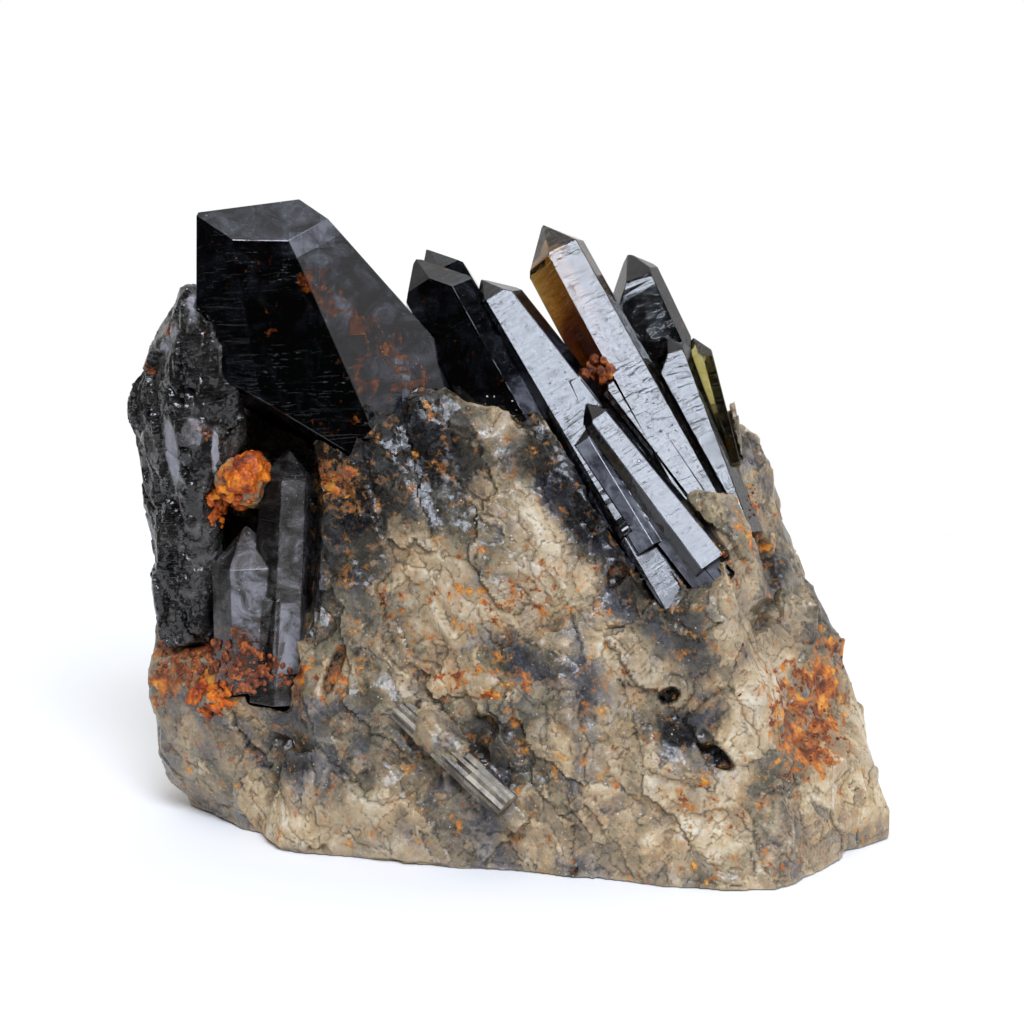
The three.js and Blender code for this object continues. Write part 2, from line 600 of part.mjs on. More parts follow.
// Each group of crystals that run into each other is one solid, and is cut clear of the group
// that it leans on. The matrix is cut clear of all of them.
const crystalGroups = [
  { name: 'large_crystal', planes: [largePlanes] },
  { name: 'dark_twin_crystals', planes: [darkFront, darkBack, darkStep] },
  {
    name: 'long_crystals',
    planes: [longCrystal, longPanel, longBlade, shadedBlade, lowBlade, stripedCrystal],
  },
  { name: 'tall_crystals', planes: [tallCrystal, tallStep, frontCrystal] },
  { name: 'pale_crystal', planes: [paleCrystal] },
  { name: 'rear_crystals', planes: [rearCrystal, shortCrystal] },
  { name: 'pocket_crystals', planes: [pocketTall, pocketRound, pocketEdge, pocketSmall] },
];

function grownGroup(planes, margin) {
  return join(planes.map((set) => solidWithin(set, margin)));
}

// Only the largest connected body of a solid: a cut can leave crumbs behind.
function largestBody(solid) {
  const mesh = solid.getMesh();
  const owner = Array.from({ length: mesh.vertProperties.length / mesh.numProp }, (_, index) => index);
  const rootOf = (index) => {
    let root = index;
    while (owner[root] !== root) {
      owner[root] = owner[owner[root]];
      root = owner[root];
    }
    return root;
  };
  for (let first = 0; first < mesh.triVerts.length; first += 3) {
    const root = rootOf(mesh.triVerts[first]);
    owner[rootOf(mesh.triVerts[first + 1])] = root;
    owner[rootOf(mesh.triVerts[first + 2])] = root;
  }
  const counts = new Map();
  for (const index of mesh.triVerts) {
    const root = rootOf(index);
    counts.set(root, (counts.get(root) ?? 0) + 1);
  }
  const [main] = [...counts.entries()].sort((one, other) => other[1] - one[1])[0];
  const kept = [];
  for (let first = 0; first < mesh.triVerts.length; first += 3) {
    if (rootOf(mesh.triVerts[first]) === main) {
      kept.push(mesh.triVerts[first], mesh.triVerts[first + 1], mesh.triVerts[first + 2]);
    }
  }
  const positions = [];
  for (let index = 0; index < mesh.vertProperties.length; index += mesh.numProp) {
    positions.push(...mesh.vertProperties.slice(index, index + 3));
  }
  const geometry = new THREE.BufferGeometry();
  geometry.setAttribute('position', new THREE.Float32BufferAttribute(positions, 3));
  geometry.setIndex(kept);
  return geometry;
}

const finishes = {
  smoky: { color: 0x3a3734, roughness: 0.15, metalness: 0 },
  pale: { color: 0x6a6238, roughness: 0.15, metalness: 0 },
  rock: { color: 0x93826c, roughness: 0.85, metalness: 0 },
};

function pieceFrom(name, solid, finish) {
  const mesh = new THREE.Mesh(largestBody(solid), new THREE.MeshStandardMaterial(finishes[finish]));
  mesh.name = name;
  return mesh;
}

function buildCluster() {
  const cluster = new THREE.Group();
  cluster.position.copy(boxMiddle).negate();
  let matrix = matrixBody();
  const taken = [];
  crystalGroups.forEach(({ name, planes }) => {
    const socket = grownGroup(planes, seamGap);
    matrix = matrix.subtract(socket);
    const clear = taken.reduce((solid, other) => solid.subtract(other), grownGroup(planes, 0));
    taken.push(socket);
    cluster.add(pieceFrom(name, clear, name === 'pale_crystal' ? 'pale' : 'smoky'));
  });
  const etched = taken.reduce((solid, other) => solid.subtract(other), leftCrystal(0));
  cluster.add(pieceFrom('left_crystal', etched, 'smoky'));
  matrix = matrix.subtract(leftCrystal(2 * seamGap)).intersect(standing);
  cluster.add(pieceFrom('matrix', matrix, 'rock'));
  return cluster;
}

export default buildCluster();
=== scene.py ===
"""A smoky quartz cluster: dark glassy crystals on broken quartz stained with iron, on a pale floor."""
import math
import random

import bpy
import numpy as np
from mathutils import Matrix, Vector, noise
from mathutils.bvhtree import BVHTree


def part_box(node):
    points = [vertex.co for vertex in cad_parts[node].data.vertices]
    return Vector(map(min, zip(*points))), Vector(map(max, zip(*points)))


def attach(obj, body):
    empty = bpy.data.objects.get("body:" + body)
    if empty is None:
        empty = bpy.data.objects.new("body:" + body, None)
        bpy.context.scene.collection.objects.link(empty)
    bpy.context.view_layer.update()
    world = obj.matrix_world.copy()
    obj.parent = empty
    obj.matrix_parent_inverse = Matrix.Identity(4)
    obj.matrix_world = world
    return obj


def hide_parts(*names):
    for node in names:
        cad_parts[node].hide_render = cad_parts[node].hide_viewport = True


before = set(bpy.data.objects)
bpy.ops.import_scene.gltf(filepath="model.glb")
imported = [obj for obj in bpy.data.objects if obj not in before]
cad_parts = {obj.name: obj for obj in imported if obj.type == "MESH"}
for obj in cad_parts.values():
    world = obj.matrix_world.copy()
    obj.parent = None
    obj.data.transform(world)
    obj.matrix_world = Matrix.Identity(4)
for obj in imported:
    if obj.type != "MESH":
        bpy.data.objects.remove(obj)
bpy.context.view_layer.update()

MM = 0.001

# The cluster is looked at from one station, as the part's source does. A place is given in
# millimetres across and up from the middle, as seen from there, and back from the front edge.
AIM = Vector((0.5, -1.2, 50)) * MM
STATION_DISTANCE = 620 * MM
STATION_DROP = math.radians(14)
FRONT_EDGE = -31.2 * MM
FORWARD = Vector((0, math.cos(STATION_DROP), -math.sin(STATION_DROP)))
UPWARD = Vector((0, math.sin(STATION_DROP), math.cos(STATION_DROP)))
STATION = AIM - FORWARD * STATION_DISTANCE
VIEW_WIDTH = 153.6 * MM

GROWTH = Vector((-0.44, 0.37, 0.82)).normalized()
UPRIGHT = Vector((-0.08, 0.1, 0.99)).normalized()


def seen(across, up, back):
    """The point on the sight line through a mark, at a depth behind the front edge."""
    mark = AIM + Vector((across * MM, 0, 0)) + UPWARD * up * MM
    sight = mark - STATION
    return STATION + sight * ((FRONT_EDGE + back * MM - STATION.y) / sight.y)


def as_seen(points):
    """How far across and up points lie from the middle, in millimetres, as seen from the station."""
    offset = points - np.array(STATION)
    spread = STATION_DISTANCE / (offset @ np.array(FORWARD)) / MM
    return offset[:, 0] * spread, (offset @ np.array(UPWARD)) * spread


def direction_of(azimuth, elevation):
    """A direction by its azimuth from +Y towards +X and its elevation, in degrees."""
    azimuth, elevation = math.radians(azimuth), math.radians(elevation)
    return Vector((
        math.sin(azimuth) * math.cos(elevation), math.cos(azimuth) * math.cos(elevation), math.sin(elevation),
    ))


# Working on one piece

def only(piece):
    bpy.ops.object.select_all(action="DESELECT")
    piece.select_set(True)
    bpy.context.view_layer.objects.active = piece


def copy_of(node, name):
    """A copy of a CAD node as one closed mesh with flat faces."""
    piece = bpy.data.objects.new(name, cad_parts[node].data.copy())
    piece.data.name = name
    bpy.context.scene.collection.objects.link(piece)
    only(piece)
    if piece.data.has_custom_normals:
        bpy.ops.mesh.customdata_custom_splitnormals_clear()
    bpy.ops.object.mode_set(mode="EDIT")
    bpy.ops.mesh.select_all(action="SELECT")
    bpy.ops.mesh.remove_doubles(threshold=1e-6)
    bpy.ops.object.mode_set(mode="OBJECT")
    return piece


def apply_modifier(piece, kind, **settings):
    only(piece)
    modifier = piece.modifiers.new(kind.title(), kind)
    for name, value in settings.items():
        setattr(modifier, name, value)
    bpy.ops.object.modifier_apply(modifier=modifier.name)


def places_of(piece):
    places = np.empty(len(piece.data.vertices) * 3)
    piece.data.vertices.foreach_get("co", places)
    return places.reshape(-1, 3)


def normals_of(piece):
    normals = np.empty(len(piece.data.vertices) * 3)
    piece.data.vertices.foreach_get("normal", normals)
    return normals.reshape(-1, 3)


def move_to(piece, places):
    piece.data.vertices.foreach_set("co", places.ravel())
    piece.data.update()


def keep(piece, name, values):
    """Keeps one number for each point of a piece, for its material to read."""
    attribute = piece.data.attributes.get(name) or piece.data.attributes.new(name, "FLOAT", "POINT")
    attribute.data.foreach_set("value", np.ascontiguousarray(values, dtype=np.float32))


def keep_by_face(piece, name, values):
    attribute = piece.data.attributes.new(name, "FLOAT", "FACE")
    attribute.data.foreach_set("value", np.ascontiguousarray(values, dtype=np.float32))


def faces_of(piece):
    """The middles and the normals of a piece's faces."""
    found = []
    for name in ("center", "normal"):
        values = np.empty(len(piece.data.polygons) * 3)
        piece.data.polygons.foreach_get(name, values)
        found.append(values.reshape(-1, 3))
    return found


# Patterns through space, worked out point by point, in millimetres

def cell_chance(cells, salt):
    """A number from 0 to 1 for each cell of a grid."""
    mixed = np.sin(cells @ np.array([127.1, 311.7, 74.7]) + salt * 53.3) * 43758.5453
    return mixed - np.floor(mixed)


def plates(points, axis, size, stretch, salt):
    """Broken plates, longer along an axis: each one's height, its chance, and how near its border is."""
    axis = np.array(axis)
    run = points @ axis
    spots = (points + np.outer(run / stretch - run, axis)) / size
    base = np.floor(spots)
    nearest = np.full(len(spots), np.inf)
    second = np.full(len(spots), np.inf)
    height = np.zeros(len(spots))
    chance = np.zeros(len(spots))
    for step in np.ndindex(3, 3, 3):
        cells = base + np.array(step) - 1
        hearts = cells + np.stack([cell_chance(cells, salt + k) for k in range(3)], axis=1)
        offset = spots - hearts
        reach = (offset ** 2).sum(axis=1)
        closer = reach < nearest
        second = np.where(closer, nearest, np.minimum(second, reach))
        nearest = np.where(closer, reach, nearest)
        slope = np.stack([cell_chance(cells, salt + 3 + k) - 0.5 for k in range(3)], axis=1)
        own = 2 * cell_chance(cells, salt + 6) - 1 + 2 * (slope * offset).sum(axis=1)
        height = np.where(closer, own, height)
        chance = np.where(closer, cell_chance(cells, salt + 7), chance)
    return height, chance, np.sqrt(second) - np.sqrt(nearest)


def swells(points, size, salt, octaves=3):
    """Soft swells from about -1 to 1."""
    shift = Vector((salt * 3.7, salt * 1.3, -salt * 2.1))
    return np.array([
        noise.fractal(Vector(point) / size + shift, 1, 2, octaves) for point in points
    ])


def max_of(arrays):
    return np.max(np.stack(list(arrays)), axis=0)


def smooth_step(values, low, high):
    share = np.clip((values - low) / (high - low), 0, 1)
    return share * share * (3 - 2 * share)


def patch(across, up, centre, half, turn=0.0, soft=0.5):
    """How much each point lies in a soft oval, as seen from the station: 1 inside, 0 outside."""
    turn = math.radians(turn)
    x, y = across - centre[0], up - centre[1]
    along = (x * math.cos(turn) + y * math.sin(turn)) / half[0]
    over = (-x * math.sin(turn) + y * math.cos(turn)) / half[1]
    return 1 - smooth_step(np.hypot(along, over), 1 - soft, 1 + soft)


def patches(across, up, marks):
    """The sum of soft ovals, each given as its middle, half sizes, turn and amount."""
    return sum(amount * patch(across, up, centre, half, turn) for centre, half, turn, amount in marks)


# Node trees

def add(tree, kind, inputs=None, **settings):
    made = tree.nodes.new(kind)
    for name, value in settings.items():
        setattr(made, name, value)
    for name, value in (inputs or {}).items():
        if isinstance(value, bpy.types.NodeSocket):
            tree.links.new(value, made.inputs[name])
        else:
            made.inputs[name].default_value = value
    return made


def new_group(name, inputs, outputs):
    """A shader node group with named sockets. inputs are (name, kind, value) and outputs (name, kind)."""
    group = bpy.data.node_groups.new(name, "ShaderNodeTree")
    for label, kind, value in inputs:
        socket = group.interface.new_socket(label, in_out="INPUT", socket_type=kind)
        if value is not None:
            socket.default_value = value
    for label, kind in outputs:
        group.interface.new_socket(label, in_out="OUTPUT", socket_type=kind)
    return group, group.nodes.new("NodeGroupInput").outputs, group.nodes.new("NodeGroupOutput").inputs


def math_node(tree, operation, first, second=0.0, clamp=False):
    made = tree.nodes.new("ShaderNodeMath")
    made.operation = operation
    made.use_clamp = clamp
    for socket, value in zip(made.inputs, (first, second)):
        if isinstance(value, bpy.types.NodeSocket):
            tree.links.new(value, socket)
        else:
            socket.default_value = value
    return made.outputs[0]


def noise_node(tree, vector, scale, detail=3.0, roughness=0.55, distortion=0.0):
    return add(tree, "ShaderNodeTexNoise", {
        "Vector": vector, "Scale": scale, "Detail": detail, "Roughness": roughness, "Distortion": distortion,
    }).outputs["Fac"]


def ranged(tree, value, low, high, start=0.0, end=1.0):
    return add(tree, "ShaderNodeMapRange", {
        "Value": value, "From Min": low, "From Max": high, "To Min": start, "To Max": end,
    }).outputs["Result"]


def mixed(tree, share, first, second):
    made = tree.nodes.new("ShaderNodeMix")
    made.data_type = "RGBA"
    for index, value in ((0, share), (6, first), (7, second)):
        if isinstance(value, bpy.types.NodeSocket):
            tree.links.new(value, made.inputs[index])
        else:
            made.inputs[index].default_value = value
    return made.outputs[2]


def colour_ramp(tree, value, stops):
    ramp = add(tree, "ShaderNodeValToRGB", {"Fac": value})
    points = ramp.color_ramp.elements
    while len(points) < len(stops):
        points.new(0.5)
    for point, (place, colour) in zip(points, stops):
        point.position = place
        point.color = colour
    return ramp.outputs["Color"]


def new_material(name):
    material = bpy.data.materials.new(name)
    material.use_nodes = True
    tree = material.node_tree
    shader = tree.nodes["Principled BSDF"]
    coordinates = tree.nodes.new("ShaderNodeTexCoord").outputs["Object"]
    return material, tree, shader, coordinates


def rgb(red, green, blue):
    """A colour from its screen values, 0 to 255."""
    def linear(value):
        share = value / 255
        return share / 12.92 if share <= 0.04045 else ((share + 0.055) / 1.055) ** 2.4
    return (linear(red), linear(green), linear(blue), 1.0)


QUARTZ_IOR = 1.544


def growth_line_group():
    """Growth steps across a crystal's axis, flat between narrow risers, with pits and matt films."""
    group, inputs, outputs = new_group(
        "Growth lines",
        [("Vector", "NodeSocketVector", None), ("Axis", "NodeSocketVector", (0, 0, 1))],
        [("Height", "NodeSocketFloat"), ("Film", "NodeSocketFloat")],
    )
    run = add(group, "ShaderNodeVectorMath", {0: inputs["Vector"], 1: inputs["Axis"]},
              operation="DOT_PRODUCT").outputs["Value"]
    along = add(group, "ShaderNodeVectorMath", {0: inputs["Axis"]}, operation="SCALE")
    group.links.new(math_node(group, "MULTIPLY", run, 9.0), along.inputs["Scale"])
    stretched = add(group, "ShaderNodeVectorMath", {0: inputs["Vector"], 1: along.outputs["Vector"]},
                    operation="ADD").outputs["Vector"]
    lines = noise_node(group, stretched, 75, detail=2, roughness=0.55)
    steps = add(group, "ShaderNodeMapRange", {
        "Value": lines, "From Min": 0.3, "From Max": 0.7, "Steps": 7.0,
    }, interpolation_type="STEPPED").outputs["Result"]
    scratches = noise_node(group, stretched, 330, detail=2, roughness=0.6)
    busy = ranged(group, noise_node(group, inputs["Vector"], 95, detail=1), 0.44, 0.6)
    thin = math_node(group, "MULTIPLY", ranged(group, scratches, 0.6, 0.65), busy)
    film = noise_node(group, inputs["Vector"], 300, detail=4, roughness=0.65)
    pits = noise_node(group, inputs["Vector"], 1500, detail=2)
    fine = math_node(group, "MULTIPLY", ranged(group, pits, 0.66, 0.71), -0.3)
    dips = math_node(group, "ADD", fine, math_node(group, "MULTIPLY", thin, -0.45))
    group.links.new(math_node(group, "ADD", steps, dips), outputs["Height"])
    film = math_node(group, "MAXIMUM", ranged(group, film, 0.52, 0.75), thin)
    group.links.new(film, outputs["Film"])
    return group


def shard_group():
    """Small broken facets, each flat with its own slope: a height in metres and a tone for each facet."""
    group, inputs, outputs = new_group(
        "Broken facets",
        [("Vector", "NodeSocketVector", None), ("Slope", "NodeSocketFloat", 0.5)],
        [("Height", "NodeSocketFloat"), ("Tone", "NodeSocketFloat")],
    )
    wander = add(group, "ShaderNodeTexNoise", {"Vector": inputs["Vector"], "Scale": 450.0, "Detail": 2.0})
    offset = add(group, "ShaderNodeVectorMath", {0: wander.outputs["Color"], 1: (0.5, 0.5, 0.5)},
                 operation="SUBTRACT").outputs["Vector"]
    small_offset = add(group, "ShaderNodeVectorMath", {0: offset, "Scale": 0.0016}, operation="SCALE")
    moved = add(group, "ShaderNodeVectorMath", {0: inputs["Vector"], 1: small_offset.outputs["Vector"]},
                operation="ADD").outputs["Vector"]
    heights = []
    tones = []
    for scale, share in ((480.0, 1.0), (1300.0, 0.8)):
        cells = add(group, "ShaderNodeTexVoronoi", {"Vector": moved, "Scale": scale})
        away = add(group, "ShaderNodeVectorMath", {0: moved, 1: cells.outputs["Position"]},
                   operation="SUBTRACT").outputs["Vector"]
        slope = add(group, "ShaderNodeVectorMath", {0: cells.outputs["Color"], 1: (0.5, 0.5, 0.5)},
                    operation="SUBTRACT").outputs["Vector"]
        lean = add(group, "ShaderNodeVectorMath", {0: away, 1: slope},
                   operation="DOT_PRODUCT").outputs["Value"]
        heights.append(math_node(group, "MULTIPLY", lean, 2 * share))
        tones.append(add(group, "ShaderNodeSeparateColor", {"Color": cells.outputs["Color"]}).outputs["Red"])
    height = math_node(group, "MULTIPLY", math_node(group, "ADD", *heights), inputs["Slope"])
    group.links.new(height, outputs["Height"])
    group.links.new(math_node(group, "MULTIPLY", math_node(group, "ADD", *tones), 0.5), outputs["Tone"])
    return group


def attribute(tree, name):
    return add(tree, "ShaderNodeAttribute", attribute_name=name).outputs["Fac"]


def total(tree, *parts):
    """The sum of values, each given as (value, share) or as a plain value."""
    result = 0.0
    for part in parts:
        value = math_node(tree, "MULTIPLY", *part) if isinstance(part, tuple) else part
        result = math_node(tree, "ADD", value, result)
    return result


# Colours of a film on a crystal, from bare dark quartz to thick dust; the same colours also paint light and
# shade on some faces
COOL_FILM = (
    (0.1, rgb(5, 5, 7)), (0.35, rgb(42, 43, 50)), (0.55, rgb(108, 110, 122)), (0.8, rgb(196, 198, 210)),
)
GREY_FILM = (
    (0.1, rgb(8, 7, 7)), (0.35, rgb(48, 44, 41)), (0.55, rgb(108, 104, 101)), (0.8, rgb(206, 204, 214)),
)
WARM_FILM = (
    (0.1, rgb(20, 16, 12)), (0.35, rgb(70, 60, 48)), (0.55, rgb(132, 118, 98)), (0.8, rgb(204, 190, 164)),
)


def film_and_painted_light_colour(tree, coordinates, stops):
    """Grey and rusty films on a crystal, more of them where its dust_and_painted_light and rust values are
    high; the grey also paints light and shade on some faces.
    """
    dust_and_painted_light, rust = attribute(tree, "dust_and_painted_light"), attribute(tree, "rust")
    cloud = noise_node(tree, coordinates, 240, detail=8, roughness=0.7, distortion=0.8)
    fleck = noise_node(tree, coordinates, 520, detail=6, roughness=0.7)
    spots = noise_node(tree, coordinates, 1500, detail=2, roughness=0.6)
    white = ranged(tree, total(tree, spots, (dust_and_painted_light, 0.03)), 0.7, 0.73)
    value = total(tree, (cloud, 1.5), (dust_and_painted_light, 0.33), (white, 0.3), -0.55)
    grey = colour_ramp(tree, value, stops)
    share = ranged(tree, total(tree, fleck, (rust, 0.2)), 0.66, 0.7)
    rusty = colour_ramp(tree, noise_node(tree, coordinates, 900, detail=3), (
        (0.35, rgb(70, 32, 20)), (0.55, rgb(150, 74, 30)), (0.7, rgb(214, 130, 50)),
    ))
    return mixed(tree, share, grey, rusty)


def smoky_glass(name, groups, axis, colour, density, roughness=0.04, film=0.16, step=0.00004, slope=0.0,
                clear=1.0, clouded=False, stops=COOL_FILM):
    material, tree, shader, coordinates = new_material(name)
    growth = add(tree, "ShaderNodeGroup", {}, node_tree=groups["lines"])
    tree.links.new(coordinates, growth.inputs["Vector"])
    growth.inputs["Axis"].default_value = axis
    bump = add(tree, "ShaderNodeBump", {
        "Height": growth.outputs["Height"], "Strength": 1.0, "Distance": step,
    })
    if slope:
        shards = add(tree, "ShaderNodeGroup", {}, node_tree=groups["shards"])
        tree.links.new(coordinates, shards.inputs["Vector"])
        shards.inputs["Slope"].default_value = slope
        bump = add(tree, "ShaderNodeBump", {
            "Height": shards.outputs["Height"], "Strength": 1.0, "Distance": 1.0,
            "Normal": bump.outputs["Normal"],
        })
    rough = ranged(tree, growth.outputs["Film"], 0, 1, roughness, roughness + film)
    tree.links.new(bump.outputs["Normal"], shader.inputs["Normal"])
    if clear < 1:
        rough = total(tree, rough, (attribute(tree, "dust_and_painted_light"), 0.16))
        tree.links.new(film_and_painted_light_colour(tree, coordinates, stops), shader.inputs["Base Color"])
    elif clouded:
        cloud = noise_node(tree, coordinates, 160, detail=5, roughness=0.6)
        tint = colour_ramp(tree, total(tree, attribute(tree, "smoke"), (cloud, 0.9), -0.45), (
            (0.0, (1, 1, 1, 1)), (0.3, (0.8, 0.62, 0.4, 1)),
            (0.55, (0.2, 0.08, 0.04, 1)), (0.8, (0.02, 0.01, 0.01, 1)),
        ))
        tree.links.new(tint, shader.inputs["Base Color"])
    else:
        shader.inputs["Base Color"].default_value = (1, 1, 1, 1)
    tree.links.new(rough, shader.inputs["Roughness"])
    shader.inputs["IOR"].default_value = QUARTZ_IOR
    shader.inputs["Transmission Weight"].default_value = clear
    absorption = add(tree, "ShaderNodeVolumeAbsorption", {"Color": colour, "Density": density})
    tree.links.new(absorption.outputs["Volume"], tree.nodes["Material Output"].inputs["Volume"])
    return material


def crystal_axis(lean, tilt):
    """A crystal's long axis by its lean to the left and its tilt to the back, in degrees."""
    lean, tilt = math.radians(lean), math.radians(tilt)
    return Vector((-math.sin(lean) * math.cos(tilt), math.sin(tilt), math.cos(lean) * math.cos(tilt)))


RISER = 0.07 * MM
BRUISE = 0.09
FINE_BRUISE = 0.03
DEEPEST_STEP = 0.4


def cut_in_bands(piece, axis, seed, low, high):
    """Cuts a crystal across its axis in bands, with a narrow riser between each two."""
    only(piece)
    chance = random.Random(seed)
    reach = places_of(piece) @ np.array(axis)
    run = reach.min() + low * MM
    risers = []
    bpy.ops.object.mode_set(mode="EDIT")
    while run < reach.max():
        for edge in (run, run + RISER):
            bpy.ops.mesh.select_all(action="SELECT")
            bpy.ops.mesh.bisect(plane_co=axis * edge, plane_no=axis)
        risers.append(run + RISER / 2)
        run += RISER + MM * (low + (high - low) * chance.random() ** 2)
    bpy.ops.object.mode_set(mode="OBJECT")
    return risers


def striated(node, name, axis, seed, depth=0.014, band=(0.25, 2.2), ledge=0.06, bevel=BRUISE):
    """A crystal group with growth steps across its faces and bruised edges."""
    piece = copy_of(node, name)
    bpy.ops.object.mode_set(mode="EDIT")
    bpy.ops.mesh.select_all(action="SELECT")
    bpy.ops.mesh.dissolve_limited(angle_limit=math.radians(0.4))
    bpy.ops.object.mode_set(mode="OBJECT")
    apply_modifier(piece, "BEVEL", width=bevel * MM, segments=1, limit_method="ANGLE",
                   angle_limit=math.radians(22), use_clamp_overlap=False)
    risers = cut_in_bands(piece, axis, seed, *band)
    places = places_of(piece)
    normals = normals_of(piece)
    side = axis.cross(Vector((0, 1, 0))).normalized()
    back = axis.cross(side).normalized()
    bands = np.searchsorted(risers, places @ np.array(axis))
    shift = np.array([
        noise.noise(Vector((0.37 + 1.61 * step, 0.8 * x, 0.8 * y + seed))) for step, x, y in
        zip(bands, normals @ np.array(side), normals @ np.array(back))
    ])
    chance = random.Random(seed + 5)
    ledges = np.cumsum([0.0] + [ledge * chance.random() if chance.random() < 0.08 else 0.0 for _ in risers])
    inward = depth * (0.8 - 1.2 * shift) + ledges[bands] * 0.3
    steepness = 1 - np.abs(normals @ np.array(axis))
    inward = np.clip(inward, 0, DEEPEST_STEP) * smooth_step(steepness, 0.3, 0.75) * MM
    move_to(piece, places - normals * inward[:, None])
    only(piece)
    bpy.ops.object.shade_flat()
    return piece


def make_crystals(groups):
    leans = {
        "dark_twin_crystals": (31, 19), "long_crystals": (37.5, 22), "tall_crystals": (30.5, 22),
        "rear_crystals": (24.5, 22), "pale_crystal": (16, 22), "pocket_crystals": (0, 6),
    }
    smoke = (0.52, 0.36, 0.14, 1)
    finishes = {
        "dark_twin_crystals": dict(colour=smoke, density=1500, clear=0.75, step=0.00002),
        "long_crystals": dict(colour=smoke, density=1500, clear=0.66),
        "tall_crystals": dict(colour=(0.62, 0.46, 0.06, 1), density=620, clouded=True, step=0.00008),
        "rear_crystals": dict(colour=smoke, density=2400, step=0.00005),
        "pale_crystal": dict(colour=(0.74, 0.7, 0.36, 1), density=650),
        "pocket_crystals": dict(colour=smoke, density=1300, clear=0.6, roughness=0.1,
                                stops=GREY_FILM),
    }
    pieces = {}
    for seed, (node, (lean, tilt)) in enumerate(leans.items()):
        axis = crystal_axis(lean, tilt)
        bevel = FINE_BRUISE if node == "dark_twin_crystals" else BRUISE
        piece = striated(node, "grown_" + node, axis, 40 + 3 * seed, bevel=bevel)
        material = smoky_glass("smoky " + node, groups, axis, **finishes[node])
        dress(piece, node, material)
        pieces[node] = piece
    axis = crystal_axis(2, 8)
    large = striated("large_crystal", "grown_large_crystal", axis, 90,
                     depth=0.012, band=(0.8, 3.5), ledge=0.03)
    cut_across(large, 1.1)
    material = smoky_glass("smoky large crystal", groups, axis, colour=smoke, density=900,
                           step=0.00002, clear=0.75)
    dress(large, "large_crystal", material)
    cover_large(large)
    cover_others(pieces)
    pieces["large_crystal"] = large
    return pieces


def cut_across(piece, spacing):
    """Cuts a crystal's faces from left to right, so that films can change along a face."""
    only(piece)
    low, high = (side / MM for side in (min(places_of(piece)[:, 0]), max(places_of(piece)[:, 0])))
    bpy.ops.object.mode_set(mode="EDIT")
    for place in np.arange(low + spacing, high, spacing):
        bpy.ops.mesh.select_all(action="SELECT")
        bpy.ops.mesh.bisect(plane_co=(place * MM, 0, 0), plane_no=(1, 0, 0))
    bpy.ops.object.mode_set(mode="OBJECT")


def cover_large(piece):
    """Where the large crystal is filmed over: its top, the narrow band below it and the slate side. Its front
    and front-left faces are darkened by their direction, as painted shade.
    """
    centres, normals = faces_of(piece)
    across, up = as_seen(centres)
    dust_and_painted_light = np.where(normals[:, 2] > 0.5, 0.75, 0.42)
    # Painted shade: faces turned to the front, and to the front left, get a lower film value, which paints
    # them darker.
    dust_and_painted_light = np.where((normals[:, 1] < -0.93) & (normals[:, 0] < 0.3), -0.35, dust_and_painted_light)
    dust_and_painted_light = np.where((normals[:, 0] < -0.2) & (normals[:, 1] < -0.5), 0.0, dust_and_painted_light)
    dust_and_painted_light += patches(across, up, (((-29.6, 41.2), (4.6, 1.9), 27, 1.3), ((-15, 20), (7, 5), -50, 0.2),
                                   ((-16, 19), (0.8, 4.5), 12, 0.9), ((-24, 22), (4, 6), -40, -0.3)))
    rust = patches(across, up, (
        ((-29.6, 34), (3.2, 2), -30, 1.1), ((-25.4, 30), (3.6, 1.6), -42, 0.8),
        ((-20, 25.6), (5, 2), -42, 1.0),
        ((-15.6, 20), (3, 2.2), 0, 1.0), ((-22, 20), (5, 2.4), -42, 0.7),
        ((-38, 36), (4, 4), 0, 0.35), ((-25, 12), (6, 4), 0, 0.4), ((-36, 30), (2, 3), 0, 0.3),
    ))
    keep_by_face(piece, "dust_and_painted_light", dust_and_painted_light)
    keep_by_face(piece, "rust", rust)


# The way two shaded faces of the long crystals look; painted light, a pale grey film, is put on them
SHADED_FACES = ((0.313, -0.701, 0.641), (-0.481, -0.876, 0.05))


